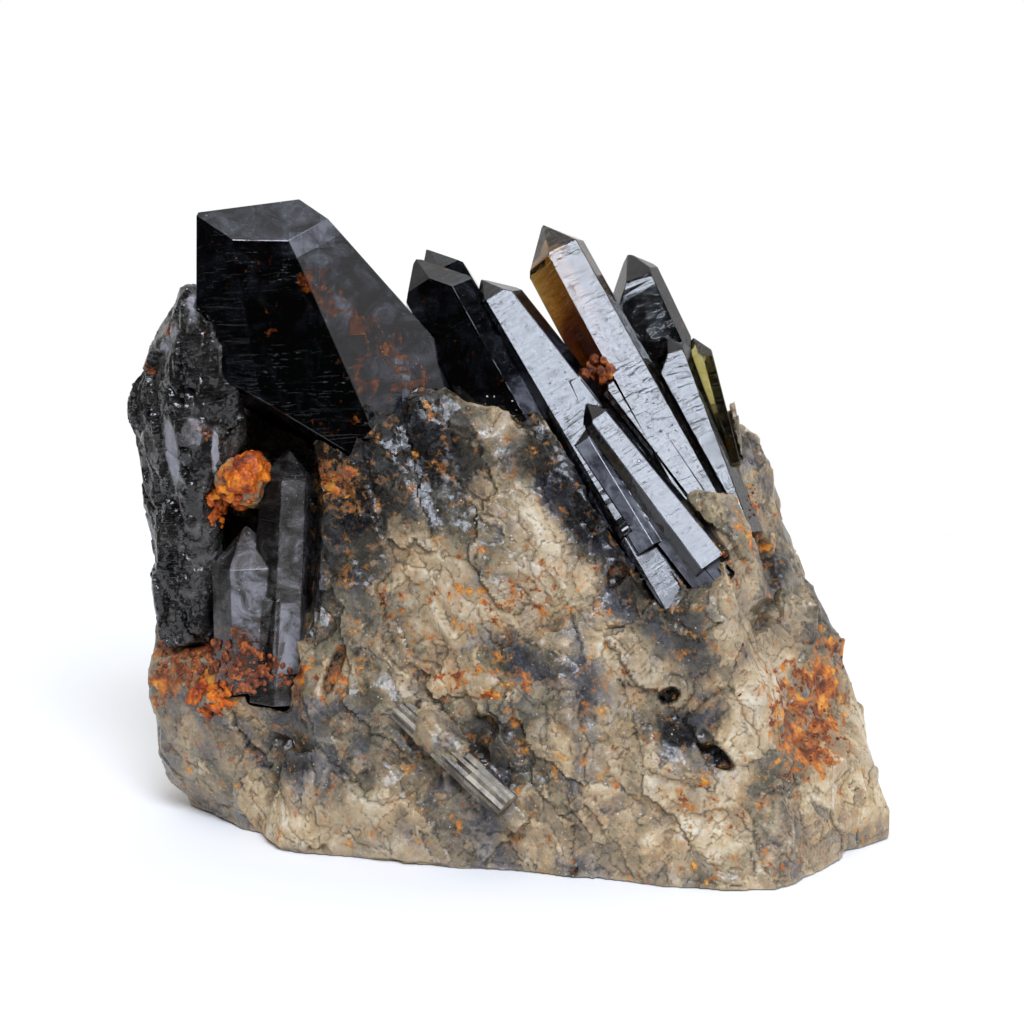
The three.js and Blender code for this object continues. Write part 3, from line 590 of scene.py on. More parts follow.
def cover_others(pieces):
    """Where the other crystals are dusty, rusty or smoky, and where their films paint light and shade by the
    way their faces turn.
    """
    dark_pair, pocket, long, tall = (
        pieces[name] for name in ("dark_twin_crystals", "pocket_crystals", "long_crystals", "tall_crystals"))
    centres, normals = faces_of(long)
    shaded = max_of(smooth_step(normals @ np.array(way), 0.95, 0.985) for way in SHADED_FACES)
    across, up = as_seen(centres)
    # Painted light: the two shaded face directions get a pale grey film so they look lit.
    keep_by_face(long, "dust_and_painted_light", 1.5 * shaded)
    keep_by_face(long, "rust", patches(across, up, (((32, -6), (2, 4), 30, 0.7), ((13, 22), (3, 3), 0, 0.5))))
    across, up = as_seen(places_of(tall))
    keep(tall, "smoke", 0.6 * (1 - smooth_step(up, 24, 37)))
    centres, normals = faces_of(dark_pair)
    # Painted light: faces turned towards the front panel get a pale film; right faces low down get a film
    # too.
    lit = smooth_step(normals @ np.array((0.1, -0.55, 0.83)), 0.86, 0.95)
    across, up = as_seen(centres)
    low = patch(across, up, (3, 15), (5, 9), -35)
    keep_by_face(dark_pair, "dust_and_painted_light", 0.8 * lit + 1.2 * low * (normals[:, 0] > 0.2) - 0.2)
    keep_by_face(dark_pair, "rust", 0.15 * (normals[:, 0] < 0.2))
    centres, normals = faces_of(pocket)
    across, up = as_seen(centres)
    pale = patches(across, up, (((-40.5, -11), (5, 8), 0, 0.5), ((-32.5, -20), (2, 6), 5, 0.8)))
    # Painted light and shade: faces turned to the right get a paler film and faces turned far to the left a
    # darker one.
    keep_by_face(pocket, "dust_and_painted_light", 0.75 + 0.3 * normals[:, 0] - 0.3 * (normals[:, 0] < -0.5) + pale)
    stained = patches(across, up, (((-43, -22), (9, 5), 0, 0.9), ((-33, 8), (3, 3), 0, 0.2)))
    keep_by_face(pocket, "rust", stained)


def dress(piece, node, material):
    piece.data.materials.clear()
    piece.data.materials.append(material)
    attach(piece, "root")
    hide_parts(node)


# The matrix

FRONT_DEPTH = 34


def rock_shades(points):
    """Where the matrix is paler or darker than the rest, and where it is stained."""
    across, up = as_seen(points)
    front = 1 - smooth_step((points[:, 1] - FRONT_EDGE) / MM, FRONT_DEPTH, FRONT_DEPTH + 12)
    shade = np.zeros(len(points))
    for centre, half, turn, amount in (
        ((-18, 8), (14, 10), -40, -0.9), ((-26, -2), (6, 12), 0, -0.5), ((10, 2), (13, 5), -52, -0.8),
        ((22, -16), (10, 4), -45, -0.6), ((24, -31), (6, 5), 0, -0.3), ((42, -14), (6, 9), 0, -0.3),
        ((-32, -35), (5, 7), 0, -0.35), ((-2, -33), (9, 6), -35, -0.3), ((-40, -14), (9, 8), 0, -0.5),
        ((38, 2), (5, 12), 0, -0.15), ((1, -22), (5, 3.5), -20, -0.4), ((-12, 14), (14, 5), -40, -0.3),
        ((-4.8, -7.2), (13, 11), -35, 0.85), ((-4, -4.6), (7.5, 5.5), -40, -0.6),
        ((38, -26), (3.5, 17), -20, 1.0),
        ((34, -15), (3, 7), -20, 0.8), ((53, -38), (6, 9), 0, 0.7), ((5, -50), (45, 6), -6, 0.2),
        ((18, -24), (6, 8), 0, 0.6), ((13, -37), (8, 7), 0, 0.4), ((26, -46), (14, 7), 0, 0.3),
        ((-30, -46), (12, 6), 0, 0.25),
        ((-1, 15), (4, 5), -40, 0.3), ((47, -46), (4, 8), 0, 0.3), ((-12, -26), (12, 5), -15, 0.2),
        ((-48, -38), (6, 8), 0, 0.2),
    ):
        shade += amount * patch(across, up, centre, half, turn)
    stain = np.zeros(len(points))
    for centre, half, turn, amount in (
        ((-43, -23), (9, 5), -10, 1.0), ((-52.5, -22), (3, 9), 0, 1.0), ((-28, -25), (8, 4), 0, 0.5),
        ((44, -31), (5.5, 9), 15, 1.0), ((-27, 4), (4.5, 4), 0, 0.7), ((48, -22), (3, 5), 0, 0.7),
        ((36, -3), (2.5, 6), 15, 0.6), ((-12, -15), (9, 4), 0, 0.4), ((3, -12), (8, 5), 0, 0.4),
        ((-4, -25), (9, 3), 0, 0.45), ((30, -43), (8, 5), 0, 0.3), ((-41, 5), (6, 5), 0, 1.0),
    ):
        stain += amount * patch(across, up, centre, half, turn)
    return shade * front, np.clip(stain, 0, 1) * front


def hollows(points):
    """How deep the matrix is broken out at its dark holes, in millimetres."""
    across, up = as_seen(points)
    front = 1 - smooth_step((points[:, 1] - FRONT_EDGE) / MM, FRONT_DEPTH, FRONT_DEPTH + 6)
    depth = np.zeros(len(points))
    for centre, half, turn, amount in (
        ((23.5, -27.6), (1.5, 1.1), 20, 2.2), ((30.6, -36.6), (3.0, 1.1), -35, 2.4),
        ((15.8, -9), (0.9, 2.6), -25, 1.5),
        ((-28, 4), (1.2, 1.1), 0, 2.0), ((25, -33), (3.4, 3.2), 0, 0.9), ((-27, -24), (1.0, 4), -20, 1.2),
        ((-33, -36), (3.0, 4), 0, 0.7), ((9, -55), (1.0, 1.6), 0, 0.8),
    ):
        depth += amount * patch(across, up, centre, half, turn, 0.35)
    return depth * front


def neighbour_mean(piece, values):
    """The mean of each point's neighbours along the edges."""
    ends = np.empty(len(piece.data.edges) * 2, dtype=np.int64)
    piece.data.edges.foreach_get("vertices", ends)
    first, second = ends.reshape(-1, 2).T
    count = np.bincount(first, minlength=len(values)) + np.bincount(second, minlength=len(values))
    total = np.bincount(first, values[second], len(values)) + np.bincount(second, values[first], len(values))
    return total / np.maximum(count, 1)


def bulge_of(piece, places, normals, rounds):
    """How far each point stands out from its surroundings, in millimetres."""
    smooth = places.copy()
    for _ in range(rounds):
        smooth = np.stack([neighbour_mean(piece, smooth[:, k]) for k in range(3)], axis=1)
    return ((places - smooth) * normals).sum(axis=1) / MM


MOST_TRIANGLES = 196000


def broken_rock(groups):
    """The matrix as broken quartz: plates, joints, hollows and thin crusts."""
    piece = copy_of("matrix", "broken_matrix")
    apply_modifier(piece, "REMESH", mode="VOXEL", voxel_size=0.42 * MM)
    places = places_of(piece)
    normals = normals_of(piece)
    points = places / MM
    warp = np.stack([swells(points, 6.0, salt, 4) for salt in (5, 9, 13)], axis=1)
    large, chance, border = plates(points + 1.3 * warp, GROWTH, 9.0, 1.7, 7)
    small, small_chance, _ = plates(points + 0.8 * warp, GROWTH, 4.2, 1.5, 31)
    shade, stain = rock_shades(places)
    crust = 0.8 * warp[:, 1] + 0.8 * (chance - 0.5) + 0.5 * (small_chance - 0.5) + 1.1 * shade
    flake = swells(points, 3.2, 21, 5) + 0.3 * (small_chance - 0.5) + 0.5 * shade
    relief = 0.55 * large + 0.16 * small + 0.26 * warp[:, 0]
    relief += 0.16 * smooth_step(crust, 0.22, 0.28) + 0.14 * smooth_step(flake, 0.36, 0.42)
    broken_out = hollows(places)
    relief -= 0.3 + broken_out
    standing = smooth_step(points[:, 2], 0.2, 0.9)
    low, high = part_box("matrix")
    places = places + normals * (relief * standing * MM)[:, None]
    places = np.clip(places, np.array(low), np.array(high))
    move_to(piece, places)
    normals = normals_of(piece)
    edge = np.clip(bulge_of(piece, places, normals, 1) / 0.06, -1, 1)
    proud = np.clip(bulge_of(piece, places, normals, 7) / 0.25, -1, 1)
    for name, values in (
        ("shade", shade + 0.3 * (chance - 0.5) + 0.1 * (small_chance - 0.5)), ("stain", stain),
        ("edge", edge), ("proud", proud), ("crust", crust), ("flake", flake),
        ("joint", 1 - smooth_step(border, 0, 0.05)), ("painted_hole_shade", smooth_step(broken_out, 0.4, 1.0)),
    ):
        keep(piece, name, values)
    in_view = smooth_step(-normals[:, 1], -0.35, 0.1) * (points[:, 1] < 12)
    group = piece.vertex_groups.new(name="kept")
    for level in range(5):
        chosen = np.flatnonzero((in_view * 4.99).astype(int) == level)
        group.add(chosen.tolist(), 1 - level / 5, "REPLACE")
    triangles = 2 * len(piece.data.polygons)
    apply_modifier(piece, "DECIMATE", ratio=min(1.0, MOST_TRIANGLES / triangles), vertex_group="kept",
                   vertex_group_factor=2.0)
    only(piece)
    bpy.ops.object.shade_smooth_by_angle(angle=math.radians(30))
    dress(piece, "matrix", rock_material(groups))
    return piece


def rock_material(groups):
    material, tree, shader, coordinates = new_material("broken quartz")
    shade, stain, edge, proud, crust, flake = (
        attribute(tree, name) for name in ("shade", "stain", "edge", "proud", "crust", "flake"))
    shards = add(tree, "ShaderNodeGroup", {}, node_tree=groups["shards"])
    tree.links.new(coordinates, shards.inputs["Vector"])
    shards.inputs["Slope"].default_value = 0.1
    cloud = noise_node(tree, coordinates, 150, detail=9, roughness=0.66, distortion=0.7)
    grit = noise_node(tree, coordinates, 1300, detail=4, roughness=0.7)
    tint = noise_node(tree, coordinates, 80, detail=6, roughness=0.6, distortion=1.0)
    haze = noise_node(tree, coordinates, 115, detail=9, roughness=0.62, distortion=1.2)
    # Painted shade: proud makes parts that stand out paler and sunken parts darker, here and in the veil and
    # coat below.
    bare_value = total(tree, (cloud, 1.1), (shade, 0.45), (grit, 0.2), (shards.outputs["Tone"], 0.08),
                       (proud, 0.06), (edge, 0.06), -0.17)
    bare = mixed(tree, ranged(tree, tint, 0.42, 0.52), colour_ramp(tree, bare_value, (
        (0.1, rgb(14, 14, 18)), (0.32, rgb(48, 48, 54)), (0.5, rgb(84, 82, 84)), (0.7, rgb(136, 130, 126)),
        (0.95, rgb(206, 202, 200)),
    )), colour_ramp(tree, bare_value, (
        (0.1, rgb(20, 18, 17)), (0.32, rgb(62, 57, 48)), (0.5, rgb(100, 92, 75)), (0.7, rgb(146, 134, 108)),
        (0.95, rgb(204, 192, 166)),
    )))
    veil_value = total(tree, (haze, 1.0), (shade, 0.3), (cloud, 0.35), (grit, 0.15), (proud, 0.03), -0.24)
    veil = colour_ramp(tree, total(tree, (tint, 0.8), (cloud, 0.5), (grit, 0.2), -0.25), (
        (0.3, rgb(112, 102, 84)), (0.45, rgb(142, 124, 98)), (0.58, rgb(176, 150, 114)),
        (0.75, rgb(200, 190, 174)),
    ))
    hazy = mixed(tree, ranged(tree, veil_value, 0.46, 0.72, 0.0, 0.92), bare, veil)
    coat_value = total(tree, (cloud, 1.5), (tint, 0.6), (shade, 0.3), (grit, 0.2),
                       (edge, 0.07), (proud, 0.06), -0.68)
    coat = colour_ramp(tree, coat_value, (
        (0.25, rgb(84, 70, 54)), (0.42, rgb(132, 110, 82)), (0.56, rgb(174, 146, 108)),
        (0.72, rgb(204, 182, 144)), (0.95, rgb(236, 226, 204)),
    ))
    ragged = total(tree, (cloud, 0.6), (grit, 0.4), -0.5)
    crust_share = ranged(tree, total(tree, crust, (ragged, 1.6)), 0.26, 0.66)
    flake_share = ranged(tree, total(tree, flake, (ragged, 0.9)), 0.34, 0.44)
    share = math_node(tree, "MAXIMUM", crust_share, total(tree, (flake_share, 0.7)))
    ochre_value = noise_node(tree, coordinates, 260, detail=8, roughness=0.68, distortion=0.5)
    ochre = ranged(tree, total(tree, ochre_value, (stain, 0.06)), 0.56, 0.7, 0.0, 0.6)
    coat = mixed(tree, ochre, coat, rgb(196, 140, 80))
    fade = ranged(tree, noise_node(tree, coordinates, 62, detail=4, roughness=0.6), 0.42, 0.58, 0.2, 0.95)
    colour = mixed(tree, math_node(tree, "MULTIPLY", share, fade), hazy, coat)
    milky = ranged(tree, noise_node(tree, coordinates, 330, detail=7, roughness=0.7), 0.62, 0.7, 0.0, 0.5)
    dirt = ranged(tree, noise_node(tree, coordinates, 850, detail=4, roughness=0.7), 0.6, 0.66, 0.0, 0.55)
    colour = mixed(tree, dirt, colour, rgb(66, 56, 46))
    lit = ranged(tree, shade, -0.5, -0.1, 0.1, 1.0)
    colour = mixed(tree, math_node(tree, "MULTIPLY", milky, lit), colour, rgb(206, 206, 210))
    joint = math_node(tree, "MULTIPLY", attribute(tree, "joint"), ranged(tree, cloud, 0.5, 0.6, 0.0, 0.3))
    # Dark joints between plates, and painted shade in the creases, where edge is below zero.
    joint_and_crease_shade = math_node(tree, "MAXIMUM", joint, ranged(tree, edge, -0.35, -0.9, 0.0, 0.5))
    colour = mixed(tree, joint_and_crease_shade, colour, rgb(44, 36, 30))
    # Painted shade: the broken-out holes are filled with near-black.
    colour = mixed(tree, attribute(tree, "painted_hole_shade"), colour, rgb(18, 15, 14))
    speck = ranged(tree, noise_node(tree, coordinates, 2100, detail=1), 0.71, 0.74, 0.0, 0.5)
    colour = mixed(tree, math_node(tree, "MULTIPLY", speck, lit), colour, rgb(226, 220, 208))
    rust_noise = noise_node(tree, coordinates, 480, detail=6, roughness=0.7)
    near = math_node(tree, "ABSOLUTE", total(tree, crust, -0.27))
    rim = math_node(tree, "SUBTRACT", 1.0, ranged(tree, near, 0.0, 0.16), clamp=True)
    rust_value = total(tree, rust_noise, (stain, 0.17), (rim, 0.03), (proud, -0.02))
    rust_share = ranged(tree, rust_value, 0.635, 0.66)
    colour = mixed(tree, ranged(tree, rust_value, 0.56, 0.64, 0.0, 0.5), colour, rgb(192, 134, 72))
    rust_tone = noise_node(tree, coordinates, 340, detail=4, roughness=0.6)
    rust = colour_ramp(tree, total(tree, rust_tone, (stain, -0.05)), (
        (0.3, rgb(66, 30, 16)), (0.42, rgb(138, 68, 26)), (0.5, rgb(196, 112, 38)), (0.62, rgb(236, 168, 64)),
    ))
    tree.links.new(mixed(tree, rust_share, colour, rust), shader.inputs["Base Color"])
    rough = total(tree, ranged(tree, grit, 0.3, 0.7, 0.14, 0.42), (share, 0.22), (rust_share, 0.25))
    tree.links.new(rough, shader.inputs["Roughness"])
    fine = add(tree, "ShaderNodeBump", {"Height": grit, "Strength": 0.3, "Distance": 0.0002})
    layers = add(tree, "ShaderNodeBump", {
        "Height": total(tree, crust_share, flake_share, (rust_share, 0.7)),
        "Strength": 0.8, "Distance": 0.00012, "Normal": fine.outputs["Normal"],
    })
    bump = add(tree, "ShaderNodeBump", {
        "Height": shards.outputs["Height"], "Strength": 1.0, "Distance": 1.0,
        "Normal": layers.outputs["Normal"],
    })
    tree.links.new(bump.outputs["Normal"], shader.inputs["Normal"])
    shader.inputs["IOR"].default_value = QUARTZ_IOR
    shader.inputs["Subsurface Weight"].default_value = 0.25
    shader.inputs["Subsurface Radius"].default_value = (1.0, 0.75, 0.5)
    shader.inputs["Subsurface Scale"].default_value = 0.001
    return material


# The etched crystal at the left

def etched_crystal(groups):
    piece = copy_of("left_crystal", "etched_left_crystal")
    apply_modifier(piece, "REMESH", mode="VOXEL", voxel_size=0.32 * MM)
    places = places_of(piece)
    normals = normals_of(piece)
    points = places / MM
    warp = np.stack([swells(points, 5.0, salt, 3) for salt in (2, 6, 10)], axis=1)
    large, _, border = plates(points + 0.9 * warp, UPRIGHT, 4.2, 2.6, 11)
    small, _, _ = plates(points + 0.5 * warp, UPRIGHT, 1.9, 2.0, 23)
    relief = 0.5 * large + 0.13 * small - 0.25 * (1 - smooth_step(border, 0, 0.07))
    places = places + normals * (relief * MM)[:, None]
    low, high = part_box("left_crystal")
    places = np.clip(places, np.array(low), np.array(high))
    move_to(piece, places)
    apply_modifier(piece, "DECIMATE", ratio=0.6)
    only(piece)
    bpy.ops.object.shade_smooth_by_angle(angle=math.radians(14))
    centres, _ = faces_of(piece)
    across, up = as_seen(centres)
    # Painted highlights: the narrow pale streaks among these patches are glints put into the film colour.
    keep_by_face(piece, "dust_and_painted_light", 0.3 + patches(across, up, (
        ((-47.5, 32), (1.3, 4.5), -8, 1.1), ((-51, 9), (0.8, 4.5), 8, 2.4), ((-47.8, 12), (1.6, 2.2), 0, 1.1),
        ((-44.5, 9), (0.6, 3), 0, 1.8), ((-54.3, 10), (0.6, 5), 12, 0.8), ((-51.3, 26), (0.8, 3), -25, 1.2),
        ((-53, -6), (3, 9), 0, -0.3), ((-47, -4), (3, 4), 0, 0.4), ((-43.5, 24), (0.7, 3), 0, 0.7),
    )))
    keep_by_face(piece, "rust", patches(across, up, (
        ((-46.3, 12), (1.4, 1.4), 0, 1.0), ((-54.3, 21.6), (1, 1), 0, 0.9), ((-51.6, 27.7), (1, 1), 0, 0.9),
        ((-48, 30), (3, 6), 0, 0.25),
    )))
    material = smoky_glass("etched smoky quartz", groups, UPRIGHT, colour=(0.5, 0.4, 0.26, 1), density=900,
                           roughness=0.08, film=0.3, step=0.00006, slope=0.12, clear=0.42, stops=GREY_FILM)
    dress(piece, "left_crystal", material)
    return piece


# Crumbs and crusts that sit on the pieces, where they are seen from the station

# Each heap: its middle and half sizes in millimetres as seen, its turn, how many lumps and how large
LIMONITE_HEAPS = (
    ((-40.4, 5.4), (2.6, 0.6), 45, 5, (3.5, 5.0)), ((-41, 4.4), (5.6, 3.0), 48, 80, (0.8, 2.4)),
    ((-43.4, -0.6), (2.4, 1.4), 30, 22, (0.6, 1.4)),
    ((-45, -28), (3.4, 2.6), 10, 60, (0.7, 1.9)), ((-28.6, 5.2), (0.9, 1.5), 0, 10, (0.4, 0.8)),
    ((-11.3, -24.8), (1.2, 0.6), 0, 9, (0.3, 0.6)), ((-1.8, -27.7), (1.8, 0.6), -15, 12, (0.3, 0.6)),
    ((-5.1, -23.7), (0.8, 0.5), 0, 5, (0.2, 0.4)), ((-2, -15), (9, 3), -40, 16, (0.15, 0.35)),
    ((32, -6.5), (0.6, 1.8), 35, 12, (0.3, 0.6)), ((-46.3, 12), (0.5, 0.5), 0, 3, (0.3, 0.5)),
    ((25.4, 28.2), (0.3, 0.6), 20, 4, (0.2, 0.4)), ((-33, -10), (4, 8), 0, 14, (0.12, 0.25)),
)
RUST_HEAPS = (
    ((-42, -23.5), (9, 3.8), -8, 150, (0.5, 1.5)), ((-52.5, -22), (1.0, 3.0), 0, 22, (0.3, 0.8)),
    ((-24.9, 4.5), (1.4, 2.0), 0, 14, (0.3, 0.7)), ((-18.3, 24), (1.8, 1.6), 0, 10, (0.2, 0.45)),
    ((-14, 20.5), (2.4, 1.4), -40, 12, (0.2, 0.45)), ((-29.5, 34), (1.6, 1.2), -30, 9, (0.15, 0.4)),
    ((-40, 38), (1.4, 1.6), 0, 7, (0.15, 0.35)), ((45, -31), (3.6, 7), 15, 80, (0.3, 0.8)),
    ((48.5, -21.5), (1.8, 2.6), 0, 22, (0.3, 0.7)), ((36.3, 1), (1.4, 3.6), 12, 24, (0.25, 0.6)),
    ((12.9, 21.4), (2.2, 1.8), 0, 16, (1.2, 2.2)), ((24, -32), (12, 5), -20, 18, (0.15, 0.35)),
    ((-6, -20), (14, 6), 0, 24, (0.12, 0.3)), ((32, -42), (7, 6), 0, 20, (0.15, 0.35)),
)
PALE_HEAPS = (
    ((-4.8, -7), (13, 9), -35, 60, (0.15, 0.45)), ((0, -35), (40, 14), 0, 110, (0.12, 0.4)),
    ((20, -20), (14, 14), 0, 50, (0.12, 0.35)), ((-25, -8), (8, 14), 0, 24, (0.1, 0.3)),
    ((14.5, -6), (3, 10), 40, 20, (0.1, 0.25)), ((-0.7, 33.4), (1.4, 0.6), -10, 8, (0.12, 0.25)),
    ((-3, 14), (5, 4), 0, 20, (0.15, 0.4)),
)


def lump_shape(seed):
    """One knobbly lump about a millimetre across, in metres."""
    bpy.ops.object.select_all(action="DESELECT")
    bpy.ops.mesh.primitive_ico_sphere_add(subdivisions=2, radius=0.5 * MM)
    bpy.ops.object.mode_set(mode="EDIT")
    bpy.ops.mesh.select_all(action="SELECT")
    bpy.ops.transform.vertex_random(offset=0.09 * MM, uniform=0.2, normal=0.7, seed=seed)
    bpy.ops.transform.resize(value=(1, 0.85, 0.65))
    bpy.ops.object.mode_set(mode="OBJECT")
    return bpy.context.object


def heap(name, marks, trees, seed):
    """Many lumps in one piece, each half sunk where its sight line meets the cluster."""
    chance = random.Random(seed)
    shapes = [lump_shape(seed + k) for k in range(4)]
    lumps = []
    for centre, half, turn, count, sizes in marks:
        spin = Matrix.Rotation(math.radians(turn), 2)
        for _ in range(count):
            reach, angle = math.sqrt(chance.random()), math.tau * chance.random()
            mark = spin @ Vector((half[0] * reach * math.cos(angle), half[1] * reach * math.sin(angle)))
            hit = landing(trees, centre[0] + mark.x, centre[1] + mark.y)
            if hit is None:
                continue
            place, normal = hit
            size = sizes[0] + (sizes[1] - sizes[0]) * chance.random() ** 1.5
            lump = bpy.data.objects.new(name, shapes[chance.randrange(4)].data.copy())
            bpy.context.scene.collection.objects.link(lump)
            spun = Matrix.Rotation(math.tau * chance.random(), 3, "Z")
            turned = normal.to_track_quat("Z", "Y").to_matrix() @ spun
            lifted = Matrix.Translation(place + normal * 0.08 * size * MM)
            lump.data.transform(lifted @ (turned * size).to_4x4())
            lumps.append(lump)
    bpy.ops.object.select_all(action="DESELECT")
    for lump in lumps:
        lump.select_set(True)
    bpy.context.view_layer.objects.active = lumps[0]
    bpy.ops.object.join()
    made = bpy.context.object
    made.name = name
    for shape in shapes:
        bpy.data.objects.remove(shape)
    apply_modifier(made, "REMESH", mode="VOXEL", voxel_size=0.11 * MM)
    return made


def landing(trees, across, up):
    """Where the sight line through a mark first meets the cluster, and the face's normal there."""
    mark = AIM + Vector((across * MM, 0, 0)) + UPWARD * up * MM
    sight = (mark - STATION).normalized()
    hits = [tree.ray_cast(STATION, sight) for tree in trees]
    hits = [(hit[3], hit[0], hit[1]) for hit in hits if hit[0] is not None]
    if not hits:
        return None
    _, place, normal = min(hits, key=lambda hit: hit[0])
    return place, normal


def crust_material(name, stops, roughness):
    material, tree, shader, coordinates = new_material(name)
    tone = noise_node(tree, coordinates, 420, detail=5, roughness=0.65)
    grit = noise_node(tree, coordinates, 2200, detail=3, roughness=0.7)
    colour = colour_ramp(tree, total(tree, tone, (grit, 0.4), -0.2), stops)
    tree.links.new(colour, shader.inputs["Base Color"])
    shader.inputs["Roughness"].default_value = roughness
    shader.inputs["Subsurface Weight"].default_value = 0.2
    shader.inputs["Subsurface Radius"].default_value = (1.0, 0.5, 0.2)
    shader.inputs["Subsurface Scale"].default_value = 0.0006
    bump = add(tree, "ShaderNodeBump", {"Height": grit, "Strength": 0.7, "Distance": 0.0002})
    tree.links.new(bump.outputs["Normal"], shader.inputs["Normal"])
    return material


def add_piece(piece, material):
    piece.data.materials.clear()
    piece.data.materials.append(material)
    only(piece)
    bpy.ops.object.shade_smooth_by_angle(angle=math.radians(35))
    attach(piece, "root")


def make_heaps(trees):
    limonite = crust_material("limonite", (
        (0.3, rgb(70, 20, 4)), (0.42, rgb(140, 50, 2)), (0.54, rgb(206, 98, 0)), (0.7, rgb(252, 164, 22)),
    ), 0.6)
    rust = crust_material("rust", (
        (0.3, rgb(44, 20, 14)), (0.45, rgb(100, 46, 22)), (0.58, rgb(164, 84, 32)), (0.72, rgb(222, 144, 56)),
    ), 0.6)
    crumbs = crust_material("pale crumbs", (
        (0.3, rgb(150, 134, 108)), (0.5, rgb(204, 190, 160)), (0.7, rgb(236, 230, 218)),
    ), 0.45)
    add_piece(heap("limonite_heaps", LIMONITE_HEAPS, trees, 3), limonite)
    add_piece(heap("rust_heaps", RUST_HEAPS, trees, 17), rust)
    add_piece(heap("pale_crumbs", PALE_HEAPS, trees, 31), crumbs)


LYING_TOP = (-16.2, -30)
LYING_END = (-0.6, -44.2)
RIBS = 22


def lying_crystal(groups, trees):
    """The ribbed crystal that lies half sunk in the front of the matrix."""
    top, _ = landing(trees, *LYING_TOP)
    end, normal = landing(trees, *LYING_END)
    bpy.ops.object.select_all(action="DESELECT")
    bpy.ops.mesh.primitive_cylinder_add(vertices=RIBS, radius=2.2 * MM, depth=(top - end).length,
                                        end_fill_type="NGON")
    piece = bpy.context.object
    piece.name = "lying_crystal"
    bpy.ops.object.mode_set(mode="EDIT")
    bpy.ops.mesh.select_all(action="SELECT")
    bpy.ops.mesh.bisect(plane_co=(0, 0, 3 * MM), plane_no=(0.3, 0, 1))
    bpy.ops.mesh.select_all(action="SELECT")
    bpy.ops.mesh.bisect(plane_co=(0, 0, -4 * MM), plane_no=(-0.2, 0.1, 1))
    bpy.ops.object.mode_set(mode="OBJECT")
    places = places_of(piece)
    chance = random.Random(8)
    ribs = [0.86 + 0.2 * chance.random() for _ in range(RIBS)]
    rib = np.round(np.arctan2(places[:, 1], places[:, 0]) / math.tau * RIBS).astype(int) % RIBS
    places[:, :2] *= np.array(ribs)[rib][:, None]
    narrowing = 1 - 0.16 * smooth_step(places[:, 2] / MM, -4, 11)
    places[:, :2] *= narrowing[:, None]
    places[:, 2] += places[:, 0] * 0.6 * (places[:, 2] > 8 * MM)
    move_to(piece, places)
    turned = (top - end).to_track_quat("Z", "Y").to_matrix().to_4x4()
    piece.data.transform(Matrix.Translation((top + end) / 2 + normal * 0.8 * MM) @ turned)
    piece.location = (0, 0, 0)
    axis = (top - end).normalized()
    across_axis = axis.cross(normal).normalized()
    material = smoky_glass("ribbed crystal", groups, across_axis, colour=(0.5, 0.42, 0.3, 1), density=700,
                           roughness=0.12, film=0.3, clear=0.45, stops=WARM_FILM)
    centres, _ = faces_of(piece)
    keep_by_face(piece, "dust_and_painted_light", 0.5 + 1.2 * cell_chance(np.round(centres / MM * 4), 3))
    keep_by_face(piece, "rust", np.full(len(centres), 0.2))
    piece.data.materials.clear()
    piece.data.materials.append(material)
    only(piece)
    bpy.ops.object.shade_flat()
    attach(piece, "root")


# The stage

def make_floor():
    bpy.ops.object.select_all(action="DESELECT")
    bpy.ops.mesh.primitive_circle_add(vertices=96, radius=0.2, fill_type="NGON", location=(0, 0, -0.0002))
    floor = bpy.context.object
    floor.name = "floor"
    material, tree, shader, _ = new_material("pale floor")
    shader.inputs["Base Color"].default_value = (0.985, 0.985, 0.985, 1)
    shader.inputs["Roughness"].default_value = 0.9
    shader.inputs["Specular IOR Level"].default_value = 0.1
    floor.data.materials.append(material)


# The sky is dark low down on one side and behind a round screen, given by azimuth and elevation
DARK_AZIMUTH = 220
SCREEN = (108, 46)
SKY_GLOW = 0.95
DARK_GLOW = 0.02


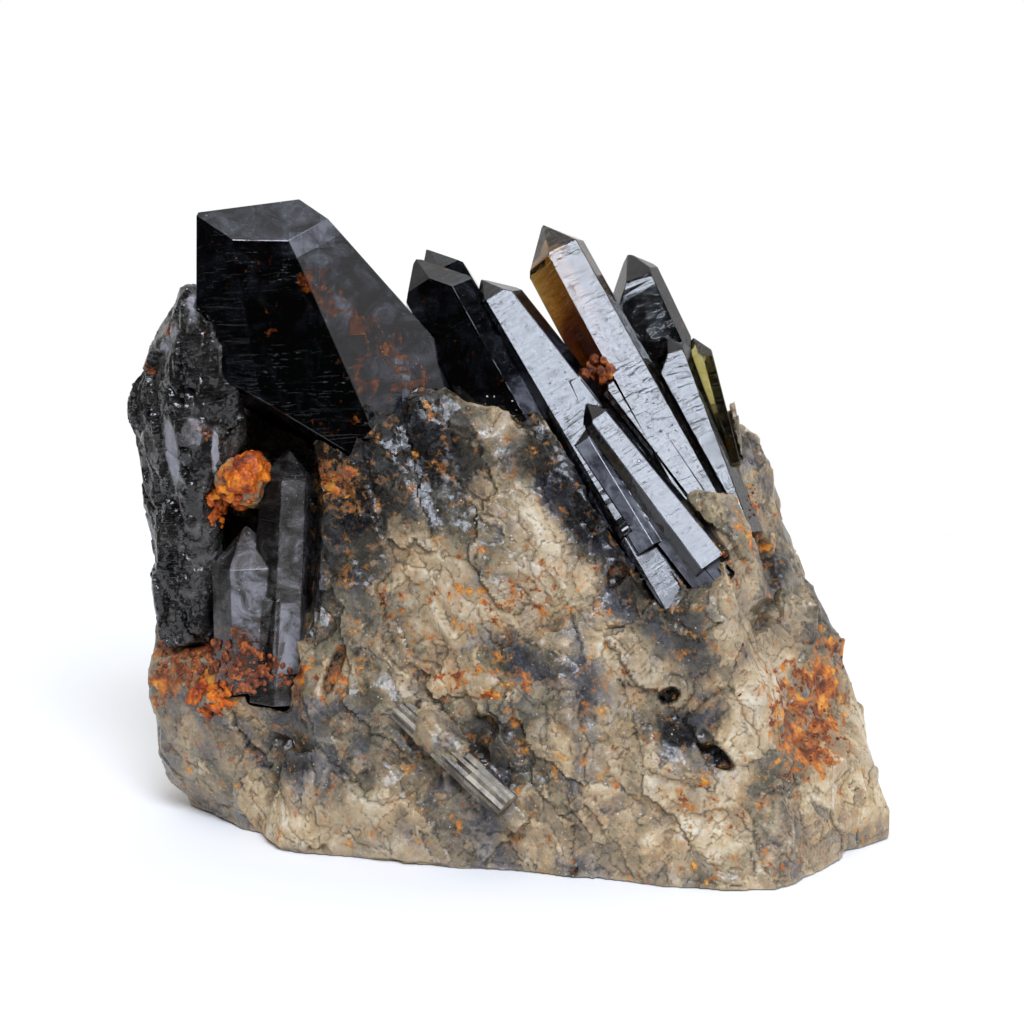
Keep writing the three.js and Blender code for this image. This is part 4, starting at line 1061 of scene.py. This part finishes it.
def make_world():
    world = bpy.data.worlds.new("studio")
    world.use_nodes = True
    bpy.context.scene.world = world
    tree = world.node_tree
    background = tree.nodes["Background"]
    direction = tree.nodes.new("ShaderNodeTexCoord").outputs["Generated"]
    dark_side = direction_of(DARK_AZIMUTH, 0)
    towards = add(tree, "ShaderNodeVectorMath", {0: direction, 1: dark_side},
                  operation="DOT_PRODUCT").outputs["Value"]
    rise = add(tree, "ShaderNodeSeparateXYZ", {0: direction}).outputs["Z"]
    facing = ranged(tree, towards, 0.1, 0.36)
    low = ranged(tree, rise, 0.58, 0.74, 1.0, 0.0)
    side = add(tree, "ShaderNodeVectorMath", {0: direction, 1: direction_of(*SCREEN)},
               operation="DOT_PRODUCT").outputs["Value"]
    screened = ranged(tree, side, 0.9, 0.95)
    shaded = math_node(tree, "MAXIMUM", math_node(tree, "MULTIPLY", facing, low), screened)
    glow = ranged(tree, shaded, 0, 1, SKY_GLOW, DARK_GLOW)
    camera = add(tree, "ShaderNodeLightPath").outputs["Is Camera Ray"]
    tree.links.new(math_node(tree, "MAXIMUM", glow, camera), background.inputs["Strength"])
    background.inputs["Color"].default_value = (1, 1, 1, 1)


def soft_panel(name, azimuth, elevation, distance, width, height, power, colour, roll=0):
    light = bpy.data.lights.new(name, "AREA")
    light.shape = "RECTANGLE"
    light.size = width
    light.size_y = height
    light.energy = power
    light.color = colour
    panel = bpy.data.objects.new(name, light)
    bpy.context.scene.collection.objects.link(panel)
    towards = direction_of(azimuth, elevation)
    panel.location = AIM + towards * distance
    upright = towards.to_track_quat("Z", "Y").to_matrix()
    panel.rotation_euler = (upright @ Matrix.Rotation(math.radians(roll), 3, "Z")).to_euler()


def make_lights():
    soft_panel("front panel", 171, 45.5, 1.2, 0.58, 0.48, 13.4, (0.79, 0.86, 1.0), roll=-20)


def make_camera():
    data = bpy.data.cameras.new("camera")
    data.lens = data.sensor_width * STATION_DISTANCE / VIEW_WIDTH
    data.clip_start = 0.01
    camera = bpy.data.objects.new("camera", data)
    camera.location = STATION
    camera.rotation_euler = (math.pi / 2 - STATION_DROP, 0, 0)
    bpy.context.scene.collection.objects.link(camera)
    bpy.context.scene.camera = camera


def main():
    bpy.context.scene.view_settings.view_transform = "Standard"
    groups = {"lines": growth_line_group(), "shards": shard_group()}
    make_camera()
    make_world()
    make_lights()
    make_floor()
    pieces = list(make_crystals(groups).values())
    pieces.append(etched_crystal(groups))
    pieces.append(broken_rock(groups))
    depsgraph = bpy.context.evaluated_depsgraph_get()
    trees = [BVHTree.FromObject(piece, depsgraph) for piece in pieces]
    lying_crystal(groups, trees)
    make_heaps(trees)


main()
